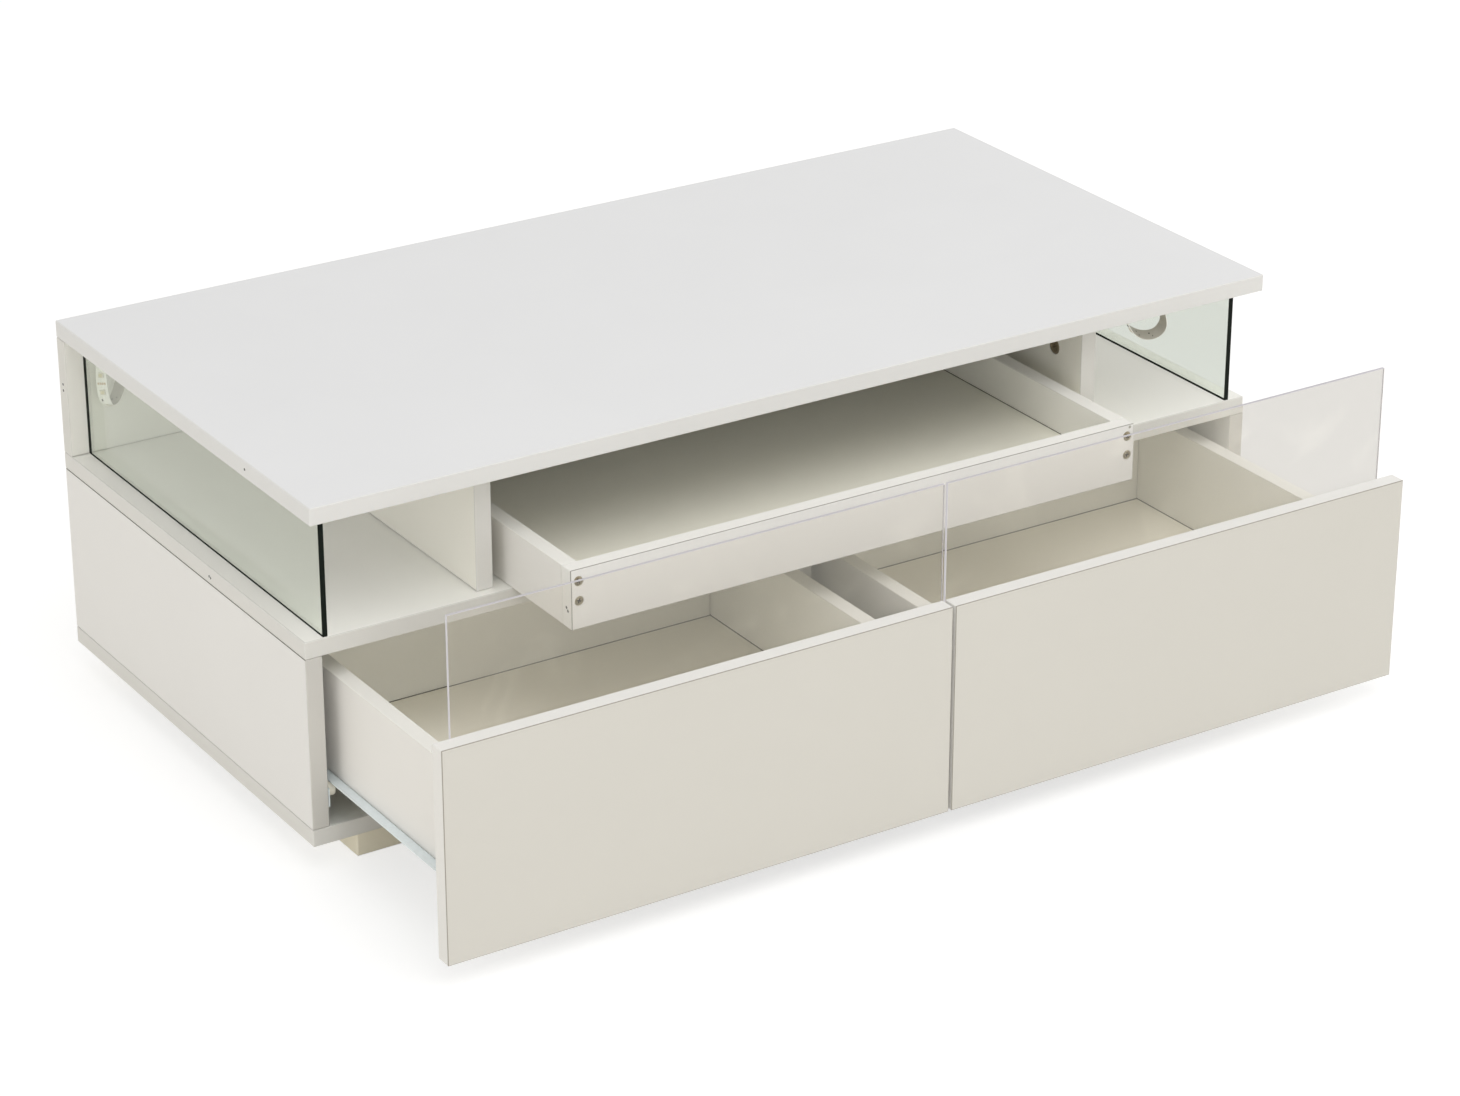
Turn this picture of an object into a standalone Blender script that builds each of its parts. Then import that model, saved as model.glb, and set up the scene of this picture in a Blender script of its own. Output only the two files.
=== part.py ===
"""A white coffee table with a display compartment behind glass at each end, a sliding tray between them and
two wide drawers below, each with a clear pane standing on its front.

Metres, +Z up, the long side along X, the drawers opening towards -Y. The table stands with its drawers pulled
out part of the way. The origin is on the floor, under the middle of the table and its open drawers.
"""

import math

import bmesh
import bpy
from mathutils import Matrix, Vector

MM = 0.001

# The whole table
TABLE_LENGTH = 1000 * MM
TABLE_DEPTH = 500 * MM
TOP_THICKNESS = 16 * MM
BOARD = 16 * MM
UPPER_CLEAR = 114 * MM
LOWER_CLEAR = 162 * MM
SEAT = 0.3 * MM
BOARD_EDGE = 0.6 * MM
OVERRUN = 2 * MM
WELD = 0.01 * MM

# The feet
FOOT_HEIGHT = 26 * MM
FOOT_WIDTH = 80 * MM
FOOT_DEPTH = 80 * MM
FOOT_SIDE_INSET = 45 * MM
FOOT_FRONT_INSET = 8 * MM
FOOT_EDGE = 1.5 * MM

# The upper tier
DIVIDER_INSET = 171 * MM
DIVIDER_SETBACK = 30 * MM
GLASS_THICKNESS = 5 * MM
GLASS_INSET = 17.5 * MM
GLASS_SETBACK = 1 * MM
GLASS_EDGE = 0.5 * MM

# The drawer fronts and the clear panes on them
FRONT_THICKNESS = 16 * MM
FRONT_END_INSET = 1.5 * MM
FRONT_JOINT = 3 * MM
FRONT_TOP_DROP = 0.5 * MM
FRONT_BOTTOM_DROP = 3.5 * MM
CLOSING_GAP = 0.5 * MM
PANE_THICKNESS = 3 * MM
PANE_END_INSET = 18.7 * MM
PANE_TOP_GAP = 6.5 * MM
PANE_EDGE = 0.3 * MM

# How far the drawers stand open
DRAWER_OPENING = 213 * MM
TRAY_TRAVEL_SHARE = 0.514

# The drawer boxes
BOX_BOARD = 15 * MM
BOX_LIFT = 29.5 * MM
BOX_HEIGHT = 107.5 * MM
BOX_REAR_CLEARANCE = 134 * MM
BOX_PANEL = 3.5 * MM
BOX_PANEL_RISE = 13.5 * MM
GROOVE_DEPTH = 5 * MM

# The tray
TRAY_HEIGHT = 55 * MM
TRAY_LEFT_GAP = 13.2 * MM
TRAY_RIGHT_GAP = 22.2 * MM
TRAY_REAR_CLEARANCE = 54 * MM
TRAY_PANEL = 3.5 * MM
TRAY_PANEL_RISE = 12.5 * MM
TRAY_SCREW_DROPS = (11 * MM, 29 * MM)

# The roller slides
SLIDE_GAP = 14.5 * MM
SLIDE_SHEET = 1.2 * MM
SLIDE_REAR_INSET = 34 * MM
SLIDE_FRONT_INSET = 2 * MM
CHANNEL_FLANGE = 8.5 * MM
CHANNEL_PLAY = 0.5 * MM
LIP_REACH = 9.5 * MM
LIP_RISE = 11 * MM
CRADLE_REACH = 12 * MM
ROLLER_RADIUS = 7 * MM
ROLLER_WIDTH = 6.6 * MM
ROLLER_EDGE = 0.6 * MM
ROLLER_BORE_PLAY = 0.25 * MM
ROLLER_PLAY = 0.35 * MM
ROLLER_INSET = 9 * MM
FLANGE_START = 20 * MM
RIVET_RADIUS = 2.3 * MM
RIVET_HEAD_RADIUS = 3.8 * MM
RIVET_HEAD = 0.8 * MM
TAB_LENGTH = 18 * MM
TAB_DROP = 5 * MM

# Cam locks
CAM_RADIUS = 7.5 * MM
CAM_DEPTH = 12.5 * MM
CAM_SETBACK = 40 * MM
CAM_END_INSET = 42 * MM
CAM_SLOT = 1.6 * MM
CAM_SLOT_DEPTH = 2.5 * MM

# The tray's screws
TRAY_SCREW_HEAD_RADIUS = 4.4 * MM
TRAY_SCREW_HEAD = 2.6 * MM
TRAY_SCREW_SINK = 0.6 * MM
TRAY_SCREW_RADIUS = 2.1 * MM
TRAY_SCREW_LENGTH = 45 * MM
CROSS_WIDTH = 1.1 * MM
CROSS_ARM_SHARE = 0.62
CROSS_DEPTH = 1.2 * MM

# The light strips and their control box
STRIP_WIDTH = 10 * MM
STRIP_THICKNESS = 0.8 * MM
STRIP_RUN_INSET = 7 * MM
STRIP_SECTIONS = 26
STRIP_FALL_SHARE = 0.7
LEFT_STRIP_BACK_INSET = 14 * MM
LEFT_LOOP_HALF = 13 * MM
LEFT_LOOP_DROP = 63 * MM
LEFT_LOOP_INSET = 47 * MM
LEFT_LOOP_SWING = 8 * MM
LEFT_LOOP_TURN_SHARE = 0.36
LEFT_LOOP_TWIST_SHARE = 0.0
RIGHT_STRIP_SETBACK = 26 * MM
RIGHT_LOOP_HALF = 22 * MM
RIGHT_LOOP_DROP = 28.5 * MM
RIGHT_LOOP_INSET = 123 * MM
RIGHT_LOOP_SWING = 13 * MM
RIGHT_LOOP_TURN_SHARE = 0.0
RIGHT_LOOP_TWIST_SHARE = 1.0
CONTROLLER_LENGTH = 76 * MM
CONTROLLER_HEIGHT = 38 * MM
CONTROLLER_DEPTH = 18 * MM
CONTROLLER_EDGE = 3 * MM
CONTROLLER_DROP = 20 * MM

# Facets
ROUND_SIDES = 24
PIN_SIDES = 12

# Levels, from the floor up
BOTTOM_LOW = FOOT_HEIGHT
BOTTOM_HIGH = BOTTOM_LOW + BOARD
SHELF_LOW = BOTTOM_HIGH + LOWER_CLEAR
SHELF_HIGH = SHELF_LOW + BOARD
TOP_LOW = SHELF_HIGH + UPPER_CLEAR
TOP_HIGH = TOP_LOW + TOP_THICKNESS

# Places along the depth
TOP_FRONT = (DRAWER_OPENING - TABLE_DEPTH) / 2
TOP_REAR = TOP_FRONT + TABLE_DEPTH
CARCASS_FRONT = TOP_FRONT + FRONT_THICKNESS + SEAT + PANE_THICKNESS + CLOSING_GAP
BACK_FRONT = TOP_REAR - BOARD
DIVIDER_FRONT = TOP_FRONT + DIVIDER_SETBACK
DRAWER_FACE = TOP_FRONT - DRAWER_OPENING
FRONT_REAR = DRAWER_FACE + FRONT_THICKNESS
BOX_FRONT = FRONT_REAR + SEAT
BOX_REAR = BOX_FRONT + BACK_FRONT - CARCASS_FRONT - BOX_REAR_CLEARANCE
TRAY_FACE = DIVIDER_FRONT - DRAWER_OPENING * TRAY_TRAVEL_SHARE
TRAY_REAR = TRAY_FACE + BACK_FRONT - DIVIDER_FRONT - TRAY_REAR_CLEARANCE

# Places along the length
END = TABLE_LENGTH / 2
SIDE_INNER = END - BOARD
PARTITION_HALF = BOARD / 2
DIVIDER_OUTER = END - DIVIDER_INSET
DIVIDER_INNER = DIVIDER_OUTER - BOARD
BOX_LOW = BOTTOM_HIGH + BOX_LIFT
BOX_HIGH = BOX_LOW + BOX_HEIGHT
BOX_PANEL_LOW = BOX_LOW + BOX_PANEL_RISE
TRAY_LOW = SHELF_HIGH + SEAT
TRAY_PANEL_LOW = TRAY_LOW + TRAY_PANEL_RISE


def clear_scene():
    """Removes every object of the open scene."""
    for item in list(bpy.data.objects):
        bpy.data.objects.remove(item, do_unlink=True)


def new_collection(name):
    """A collection of that name, linked to the scene."""
    made = bpy.data.collections.new(name)
    bpy.context.scene.collection.children.link(made)
    return made


clear_scene()
PARTS = new_collection("coffee_table")
CUTTERS = new_collection("cutters")


def finish(name, colour, roughness, metallic=0.0, alpha=1.0):
    """A plain material for one kind of piece."""
    made = bpy.data.materials.new(name)
    made.use_nodes = True
    shader = made.node_tree.nodes["Principled BSDF"]
    shader.inputs["Base Color"].default_value = (*colour, 1)
    shader.inputs["Roughness"].default_value = roughness
    shader.inputs["Metallic"].default_value = metallic
    shader.inputs["Alpha"].default_value = alpha
    return made


WHITE_BOARD = finish("white_board", (0.80, 0.79, 0.76), 0.35)
WARM_FRONT = finish("warm_front", (0.74, 0.71, 0.66), 0.25)
BOX_BOARD_FINISH = finish("box_board", (0.72, 0.70, 0.65), 0.45)
BOX_PANEL_FINISH = finish("box_panel", (0.62, 0.61, 0.57), 0.5)
CLEAR_GLASS = finish("side_glass", (0.62, 0.68, 0.62), 0.05, alpha=0.35)
CLEAR_ACRYLIC = finish("clear_acrylic", (0.92, 0.92, 0.94), 0.05, alpha=0.25)
SLIDE_STEEL = finish("slide_steel", (0.72, 0.76, 0.78), 0.35, metallic=0.2)
ROLLER_PLASTIC = finish("roller_plastic", (0.82, 0.80, 0.72), 0.4)
ZINC = finish("zinc", (0.45, 0.38, 0.25), 0.35, metallic=0.9)
BRASSED_STEEL = finish("brassed_steel", (0.55, 0.50, 0.42), 0.3, metallic=0.9)
STRIP_WHITE = finish("strip_white", (0.80, 0.80, 0.76), 0.5)
CONTROLLER_WHITE = finish("controller_white", (0.85, 0.85, 0.84), 0.4)


def mesh_of(bm, name):
    """Ends a bmesh and gives it as a mesh."""
    mesh = bpy.data.meshes.new(name)
    bm.to_mesh(mesh)
    bm.free()
    return mesh


def add_piece(name, mesh, collection, centre, parent=None):
    """An object at a place in the world, under a parent that only has a location."""
    piece = bpy.data.objects.new(name, mesh)
    collection.objects.link(piece)
    piece.location = Vector(centre)
    if parent is not None:
        piece.parent = parent
        piece.location = Vector(centre) - parent.location
    if collection is CUTTERS:
        piece.hide_render = True
        piece.display_type = "WIRE"
    return piece


def pivot(name, place):
    """An empty that carries the pieces which move together."""
    empty = bpy.data.objects.new(name, None)
    PARTS.objects.link(empty)
    empty.location = Vector(place)
    return empty


def box_mesh(name, size):
    """A box of that size about its own middle."""
    bm = bmesh.new()
    bmesh.ops.create_cube(bm, size=1)
    bmesh.ops.scale(bm, vec=size, verts=bm.verts)
    return mesh_of(bm, name)


def board(name, low, high, look, parent=None, edge=BOARD_EDGE):
    """A flat board between two corners, with slightly broken edges."""
    low, high = Vector(low), Vector(high)
    piece = add_piece(name, box_mesh(name, high - low), PARTS, (low + high) / 2, parent)
    piece.data.materials.append(look)
    bevel = piece.modifiers.new("edges", "BEVEL")
    bevel.width = edge
    bevel.segments = 1
    bevel.limit_method = "ANGLE"
    return piece


def boolean(piece, other, operation):
    """Cuts the other object from the piece, or joins it to the piece."""
    step = piece.modifiers.new(other.name, "BOOLEAN")
    step.object = other
    step.operation = operation
    step.solver = "EXACT"


def box_cutter(name, low, high):
    """A box between two corners, for cutting."""
    low, high = Vector(low), Vector(high)
    return add_piece(name, box_mesh(name, high - low), CUTTERS, (low + high) / 2)


def rods(bm, places, axis, radius, length, sides):
    """Rods that start at the places and run along the axis."""
    axis = Vector(axis)
    turn = Vector((0, 0, 1)).rotation_difference(axis).to_matrix().to_4x4()
    for place in places:
        middle = Vector(place) + axis * length / 2
        bmesh.ops.create_cone(
            bm,
            cap_ends=True,
            segments=sides,
            radius1=radius,
            radius2=radius,
            depth=length,
            matrix=Matrix.Translation(middle) @ turn,
        )


def drill(piece, name, places, axis, radius, depth, sides=PIN_SIDES):
    """Round holes of that depth, whose mouths are at the places and whose axis runs into the piece."""
    bm = bmesh.new()
    into = Vector(axis)
    mouths = [Vector(place) - into * OVERRUN for place in places]
    rods(bm, mouths, axis, radius, depth + OVERRUN, sides)
    boolean(piece, add_piece(name, mesh_of(bm, name), CUTTERS, (0, 0, 0)), "DIFFERENCE")


def turned_mesh(name, profile, sides):
    """A body turned about Z from (radius, height) points that run down its outer side."""
    bm = bmesh.new()
    corners = [bm.verts.new((radius, 0, height)) for radius, height in profile]
    for one, other in zip(corners, corners[1:]):
        bm.edges.new((one, other))
    if profile[0][0] > 0:
        bm.edges.new((corners[-1], corners[0]))
    blank = add_piece(name, mesh_of(bm, name), CUTTERS, (0, 0, 0))
    screw = blank.modifiers.new("turn", "SCREW")
    screw.axis = "Z"
    screw.steps = sides
    screw.render_steps = sides
    screw.use_merge_vertices = True
    screw.merge_threshold = WELD
    screw.use_normal_calculate = True
    graph = bpy.context.evaluated_depsgraph_get()
    mesh = bpy.data.meshes.new_from_object(blank.evaluated_get(graph))
    bpy.data.objects.remove(blank, do_unlink=True)
    return mesh


def fastener(name, mesh, matrix, look, cross, parent=None):
    """One turned fastener stood at the matrix, with a cross of (width, arm, depth) sunk into its head."""
    copy = mesh.copy()
    copy.transform(matrix)
    middle = Vector(parent.location) if parent is not None else Vector((0, 0, 0))
    copy.transform(Matrix.Translation(-middle))
    piece = add_piece(name, copy, PARTS, middle, parent)
    piece.data.materials.append(look)
    boolean(piece, cross_cutter(f"{name}_cross", matrix, *cross), "DIFFERENCE")
    return piece


def facing(place, axis):
    """A matrix that stands a body, turned about +Z, at a place with its +Z along the axis."""
    turn = Vector((0, 0, 1)).rotation_difference(Vector(axis)).to_matrix().to_4x4()
    return Matrix.Translation(Vector(place)) @ turn


def cross_cutter(name, matrix, width, arm, depth):
    """A cross sunk to that depth below the XY plane of the matrix."""
    half = width / 2
    corner = [(arm, -half), (arm, half), (half, half)]
    outline = []
    for quarter in range(4):
        turn = Matrix.Rotation(quarter * math.pi / 2, 2)
        outline += [turn @ Vector(point) for point in corner]
    bm = bmesh.new()
    face = bm.faces.new([bm.verts.new((x, y, -depth)) for x, y in outline])
    made = bmesh.ops.extrude_face_region(bm, geom=[face])
    lifted = [item for item in made["geom"] if isinstance(item, bmesh.types.BMVert)]
    bmesh.ops.translate(bm, vec=(0, 0, depth + OVERRUN), verts=lifted)
    bmesh.ops.recalc_face_normals(bm, faces=bm.faces)
    bmesh.ops.transform(bm, matrix=matrix, verts=bm.verts)
    return add_piece(name, mesh_of(bm, name), CUTTERS, (0, 0, 0))


def bent_sheet(name, path, y_low, y_high, look, parent=None):
    """A steel strip bent along (x, z) points and running along Y."""
    bm = bmesh.new()
    corners = [bm.verts.new((x, y_low, z)) for x, z in path]
    edges = [bm.edges.new(pair) for pair in zip(corners, corners[1:])]
    made = bmesh.ops.extrude_edge_only(bm, edges=edges)
    moved = [item for item in made["geom"] if isinstance(item, bmesh.types.BMVert)]
    bmesh.ops.translate(bm, vec=(0, y_high - y_low, 0), verts=moved)
    middle = Vector(parent.location) if parent is not None else Vector((0, 0, 0))
    bmesh.ops.translate(bm, vec=-middle, verts=bm.verts)
    piece = add_piece(name, mesh_of(bm, name), PARTS, middle, parent)
    piece.data.materials.append(look)
    shell = piece.modifiers.new("sheet", "SOLIDIFY")
    shell.thickness = SLIDE_SHEET
    shell.offset = 0
    shell.use_even_offset = True
    return piece


def rivet(name, start, direction, reach):
    """A rivet from the start, with its head at the far end."""
    shank_end = reach - RIVET_HEAD
    profile = [
        (0, reach),
        (RIVET_HEAD_RADIUS, reach),
        (RIVET_HEAD_RADIUS, shank_end),
        (RIVET_RADIUS, shank_end),
        (RIVET_RADIUS, 0),
        (0, 0),
    ]
    mesh = turned_mesh(name, profile, PIN_SIDES)
    mesh.transform(facing(start, (direction, 0, 0)))
    return add_piece(name, mesh, CUTTERS, (0, 0, 0))


def ribbon(name, stations, look):
    """A flat flexible strip lofted through (middle, width direction) stations."""
    bm = bmesh.new()
    rings = []
    for index, (middle, across) in enumerate(stations):
        ahead = stations[min(index + 1, len(stations) - 1)][0]
        behind = stations[max(index - 1, 0)][0]
        along = (ahead - behind).normalized()
        across = (across - along * across.dot(along)).normalized()
        up = along.cross(across)
        side = across * STRIP_WIDTH / 2
        rise = up * STRIP_THICKNESS / 2
        corners = (middle - side - rise, middle + side - rise, middle + side + rise, middle - side + rise)
        rings.append([bm.verts.new(corner) for corner in corners])
    for one, other in zip(rings, rings[1:]):
        for index in range(4):
            after = (index + 1) % 4
            bm.faces.new((one[index], one[after], other[after], other[index]))
    bm.faces.new(rings[0])
    bm.faces.new(rings[-1])
    bmesh.ops.recalc_face_normals(bm, faces=bm.faces)
    piece = add_piece(name, mesh_of(bm, name), PARTS, (0, 0, 0))
    piece.data.materials.append(look)
    return piece


def make_carcass():
    """The boards that are fixed to each other, the two glass panes and the feet."""
    made = {}
    made["table_top"] = board("table_top", (-END, TOP_FRONT, TOP_LOW), (END, TOP_REAR, TOP_HIGH), WHITE_BOARD)
    made["display_shelf"] = board(
        "display_shelf", (-END, CARCASS_FRONT, SHELF_LOW), (END, TOP_REAR, SHELF_HIGH), WHITE_BOARD
    )
    made["bottom_board"] = board(
        "bottom_board", (-END, CARCASS_FRONT, BOTTOM_LOW), (END, TOP_REAR, BOTTOM_HIGH), WHITE_BOARD
    )
    made["upper_back_panel"] = board(
        "upper_back_panel",
        (-END, BACK_FRONT, SHELF_HIGH + SEAT),
        (END, TOP_REAR, TOP_LOW - SEAT),
        WHITE_BOARD,
    )
    lower = (BOTTOM_HIGH + SEAT, SHELF_LOW - SEAT)
    upper = (SHELF_HIGH + SEAT, TOP_LOW - SEAT)
    made["lower_back_panel"] = board(
        "lower_back_panel",
        (SEAT - SIDE_INNER, BACK_FRONT, lower[0]),
        (SIDE_INNER - SEAT, TOP_REAR, lower[1]),
        WHITE_BOARD,
    )
    made["centre_partition"] = board(
        "centre_partition",
        (-PARTITION_HALF, CARCASS_FRONT, lower[0]),
        (PARTITION_HALF, BACK_FRONT - SEAT, lower[1]),
        WHITE_BOARD,
    )
    for side, word in ((-1, "left"), (1, "right")):
        outer, inner = sorted((side * END, side * SIDE_INNER))
        name = f"{word}_side_panel"
        made[name] = board(name, (outer, CARCASS_FRONT, lower[0]), (inner, TOP_REAR, lower[1]), WHITE_BOARD)
        outer, inner = sorted((side * DIVIDER_OUTER, side * DIVIDER_INNER))
        name = f"{word}_divider"
        made[name] = board(
            name, (outer, DIVIDER_FRONT, upper[0]), (inner, BACK_FRONT - SEAT, upper[1]), WHITE_BOARD
        )
        glass = sorted((side * (END - GLASS_INSET), side * (END - GLASS_INSET - GLASS_THICKNESS)))
        board(
            f"{word}_glass_pane",
            (glass[0], CARCASS_FRONT + GLASS_SETBACK, upper[0]),
            (glass[1], BACK_FRONT - SEAT, upper[1]),
            CLEAR_GLASS,
            edge=GLASS_EDGE,
        )
    for side, word in ((-1, "left"), (1, "right")):
        near = side * (END - FOOT_SIDE_INSET)
        x_low, x_high = sorted((near, near - side * FOOT_WIDTH))
        front = CARCASS_FRONT + FOOT_FRONT_INSET
        rear = TOP_REAR - FOOT_FRONT_INSET
        for place, y_low, y_high in (("front", front, front + FOOT_DEPTH), ("rear", rear - FOOT_DEPTH, rear)):
            name = f"{place}_{word}_foot"
            made[name] = board(
                name, (x_low, y_low, 0), (x_high, y_high, FOOT_HEIGHT - SEAT), WHITE_BOARD, edge=FOOT_EDGE
            )
    return made


def fit_cam_locks(made):
    """Two cam locks in each divider, on its face towards the tray."""
    outline = [(0, 0), (CAM_RADIUS, 0), (CAM_RADIUS, -CAM_DEPTH), (0, -CAM_DEPTH)]
    cam = turned_mesh("cam", outline, ROUND_SIDES)
    cross = (CAM_SLOT, CAM_RADIUS * CROSS_ARM_SHARE, CAM_SLOT_DEPTH)
    ends = (("front", DIVIDER_FRONT + CAM_END_INSET), ("rear", BACK_FRONT - CAM_END_INSET))
    for side, word in ((-1, "left"), (1, "right")):
        divider = made[f"{word}_divider"]
        for end, y in ends:
            place = Vector((side * DIVIDER_INNER, y, TOP_LOW - CAM_SETBACK))
            tag = f"{word}_divider_{end}_cam"
            into = (side, 0, 0)
            drill(divider, f"{tag}_pocket", [place], into, CAM_RADIUS + SEAT, CAM_DEPTH + SEAT, ROUND_SIDES)
            fastener(tag, cam, facing(place, (-side, 0, 0)), ZINC, cross)


def roller_mesh(name):
    """A nylon roller about Z, with a bore for its rivet."""
    half = ROLLER_WIDTH / 2
    bore = RIVET_RADIUS + ROLLER_BORE_PLAY
    profile = [
        (bore, half),
        (ROLLER_RADIUS - ROLLER_EDGE, half),
        (ROLLER_RADIUS, half - ROLLER_EDGE),
        (ROLLER_RADIUS, ROLLER_EDGE - half),
        (ROLLER_RADIUS - ROLLER_EDGE, -half),
        (bore, -half),
    ]
    return turned_mesh(name, profile, ROUND_SIDES)


def add_roller(name, x_middle, y, z, parent):
    """A roller on its own pivot, turning about X."""
    hub = pivot(f"{name}_axis", (x_middle, y, z))
    if parent is not None:
        hub.parent = parent
        hub.location = Vector((x_middle, y, z)) - parent.location
    mesh = roller_mesh(name)
    mesh.transform(Matrix.Rotation(math.pi / 2, 4, "Y"))
    roller = bpy.data.objects.new(name, mesh)
    PARTS.objects.link(roller)
    roller.parent = hub
    mesh.materials.append(ROLLER_PLASTIC)
    mesh.shade_smooth()
    return roller


def add_slide(word, hand, wall_x, box_x, towards_box, drawer):
    """One roller slide: a channel with its roller on the carcass, a rail with its roller on the drawer box.

    wall_x is the carcass face, box_x the box's outer face, and towards_box is 1 or -1 along X.
    """
    inward = towards_box
    lip_z = BOX_LOW + LIP_RISE - SLIDE_SHEET / 2
    lip_under = lip_z - SLIDE_SHEET / 2
    fixed_z = lip_under - SEAT - ROLLER_RADIUS
    web_x = wall_x + inward * (SEAT + SLIDE_SHEET / 2)
    tip_x = web_x + inward * (CHANNEL_FLANGE + SLIDE_SHEET / 2)
    leg_x = box_x - inward * (SEAT + SLIDE_SHEET / 2)
    moving_z = BOX_LOW - SEAT - SLIDE_SHEET - TAB_DROP + RIVET_HEAD_RADIUS
    floor_z = moving_z - ROLLER_RADIUS - SEAT - SLIDE_SHEET / 2
    ceiling_z = moving_z + ROLLER_RADIUS + CHANNEL_PLAY + SLIDE_SHEET / 2
    y_low = CARCASS_FRONT + SEAT
    length = BOX_REAR - BOX_FRONT - SLIDE_REAR_INSET
    channel = bent_sheet(
        f"{word}_drawer_{hand}_channel",
        [(tip_x, floor_z), (web_x, floor_z), (web_x, ceiling_z), (tip_x, ceiling_z)],
        y_low,
        y_low + length,
        SLIDE_STEEL,
    )
    cut_x = sorted((web_x + inward * SLIDE_SHEET / 2, tip_x + inward * OVERRUN))
    clearing = box_cutter(
        f"{channel.name}_clearing",
        (cut_x[0], y_low - OVERRUN, floor_z - OVERRUN),
        (cut_x[1], y_low + FLANGE_START, ceiling_z + OVERRUN),
    )
    boolean(channel, clearing, "DIFFERENCE")
    reach = SLIDE_SHEET / 2 + ROLLER_PLAY + ROLLER_WIDTH + ROLLER_PLAY + RIVET_HEAD
    fixed_y = y_low + ROLLER_INSET
    pin = rivet(f"{channel.name}_rivet", (web_x, fixed_y, fixed_z), inward, reach)
    boolean(channel, pin, "UNION")
    roller_offset = SLIDE_SHEET / 2 + ROLLER_PLAY + ROLLER_WIDTH / 2
    add_roller(f"{word}_drawer_{hand}_channel_roller", web_x + inward * roller_offset, fixed_y, fixed_z, None)
    rail_y = BOX_FRONT + SLIDE_FRONT_INSET
    under_z = BOX_LOW - SEAT - SLIDE_SHEET / 2
    rail = bent_sheet(
        f"{word}_drawer_{hand}_rail",
        [
            (leg_x - inward * LIP_REACH, lip_z),
            (leg_x, lip_z),
            (leg_x, under_z),
            (leg_x + inward * CRADLE_REACH, under_z),
        ],
        rail_y,
        rail_y + length,
        SLIDE_STEEL,
        drawer,
    )
    tab_x = sorted((leg_x - SLIDE_SHEET / 2, leg_x + SLIDE_SHEET / 2))
    tab = box_cutter(
        f"{rail.name}_tab",
        (tab_x[0], rail_y + length - TAB_LENGTH, moving_z - RIVET_HEAD_RADIUS),
        (tab_x[1], rail_y + length, under_z + SLIDE_SHEET),
    )
    boolean(rail, tab, "UNION")
    moving_y = rail_y + length - ROLLER_INSET
    pin = rivet(f"{rail.name}_rivet", (leg_x, moving_y, moving_z), -inward, reach)
    boolean(rail, pin, "UNION")
    add_roller(f"{word}_drawer_{hand}_rail_roller", leg_x - inward * roller_offset, moving_y, moving_z, drawer)


def make_drawer(side, word):
    """One wide drawer: its front, the clear pane on it, its box and its slides."""
    middle = side * (FRONT_JOINT / 2 + END - FRONT_END_INSET) / 2
    drawer = pivot(f"{word}_drawer_slide", (middle, DRAWER_FACE, BOX_LOW))
    inner_x, outer_x = side * FRONT_JOINT / 2, side * (END - FRONT_END_INSET)
    x_low, x_high = sorted((inner_x, outer_x))
    front = board(
        f"{word}_drawer_front",
        (x_low, DRAWER_FACE, BOTTOM_LOW - FRONT_BOTTOM_DROP),
        (x_high, FRONT_REAR, SHELF_HIGH - FRONT_TOP_DROP),
        WARM_FRONT,
        drawer,
    )
    pane_x = sorted((inner_x, side * (END - PANE_END_INSET)))
    pane_y = (FRONT_REAR + SEAT, FRONT_REAR + SEAT + PANE_THICKNESS)
    pane_low = BOX_HIGH + SEAT
    board(
        f"{word}_drawer_pane",
        (pane_x[0], pane_y[0], pane_low),
        (pane_x[1], pane_y[1], TOP_LOW - PANE_TOP_GAP),
        CLEAR_ACRYLIC,
        drawer,
        PANE_EDGE,
    )
    make_box(side, word, drawer, front)


def make_box(side, word, drawer, front):
    """The box behind a drawer front, and the slides that carry it."""
    wall_outer, wall_inner = side * SIDE_INNER, side * PARTITION_HALF
    outer, inner = wall_outer - side * SLIDE_GAP, wall_inner + side * SLIDE_GAP
    x_low, x_high = sorted((outer, inner))
    sides = []
    for hand, low_x in (("left", x_low), ("right", x_high - BOX_BOARD)):
        sides.append(
            board(
                f"{word}_drawer_{hand}_side",
                (low_x, BOX_FRONT, BOX_LOW),
                (low_x + BOX_BOARD, BOX_REAR, BOX_HIGH),
                BOX_BOARD_FINISH,
                drawer,
            )
        )
    inside = (x_low + BOX_BOARD, x_high - BOX_BOARD)
    back = board(
        f"{word}_drawer_back",
        (inside[0] + SEAT, BOX_REAR - BOX_BOARD, BOX_LOW),
        (inside[1] - SEAT, BOX_REAR, BOX_HIGH),
        BOX_BOARD_FINISH,
        drawer,
    )
    groove = box_cutter(
        f"{word}_drawer_groove",
        (inside[0] - GROOVE_DEPTH, BOX_FRONT - GROOVE_DEPTH, BOX_PANEL_LOW - SEAT),
        (inside[1] + GROOVE_DEPTH, BOX_REAR - BOX_BOARD + GROOVE_DEPTH, BOX_PANEL_LOW + BOX_PANEL + SEAT),
    )
    for piece in (*sides, back, front):
        boolean(piece, groove, "DIFFERENCE")
    reach = GROOVE_DEPTH - SEAT
    board(
        f"{word}_drawer_bottom",
        (inside[0] - reach, BOX_FRONT - reach, BOX_PANEL_LOW),
        (inside[1] + reach, BOX_REAR - BOX_BOARD + reach, BOX_PANEL_LOW + BOX_PANEL),
        BOX_PANEL_FINISH,
        drawer,
        PANE_EDGE,
    )
    walls = sorted((wall_outer, wall_inner))
    add_slide(word, "left", walls[0], x_low, 1, drawer)
    add_slide(word, "right", walls[1], x_high, -1, drawer)


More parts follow.
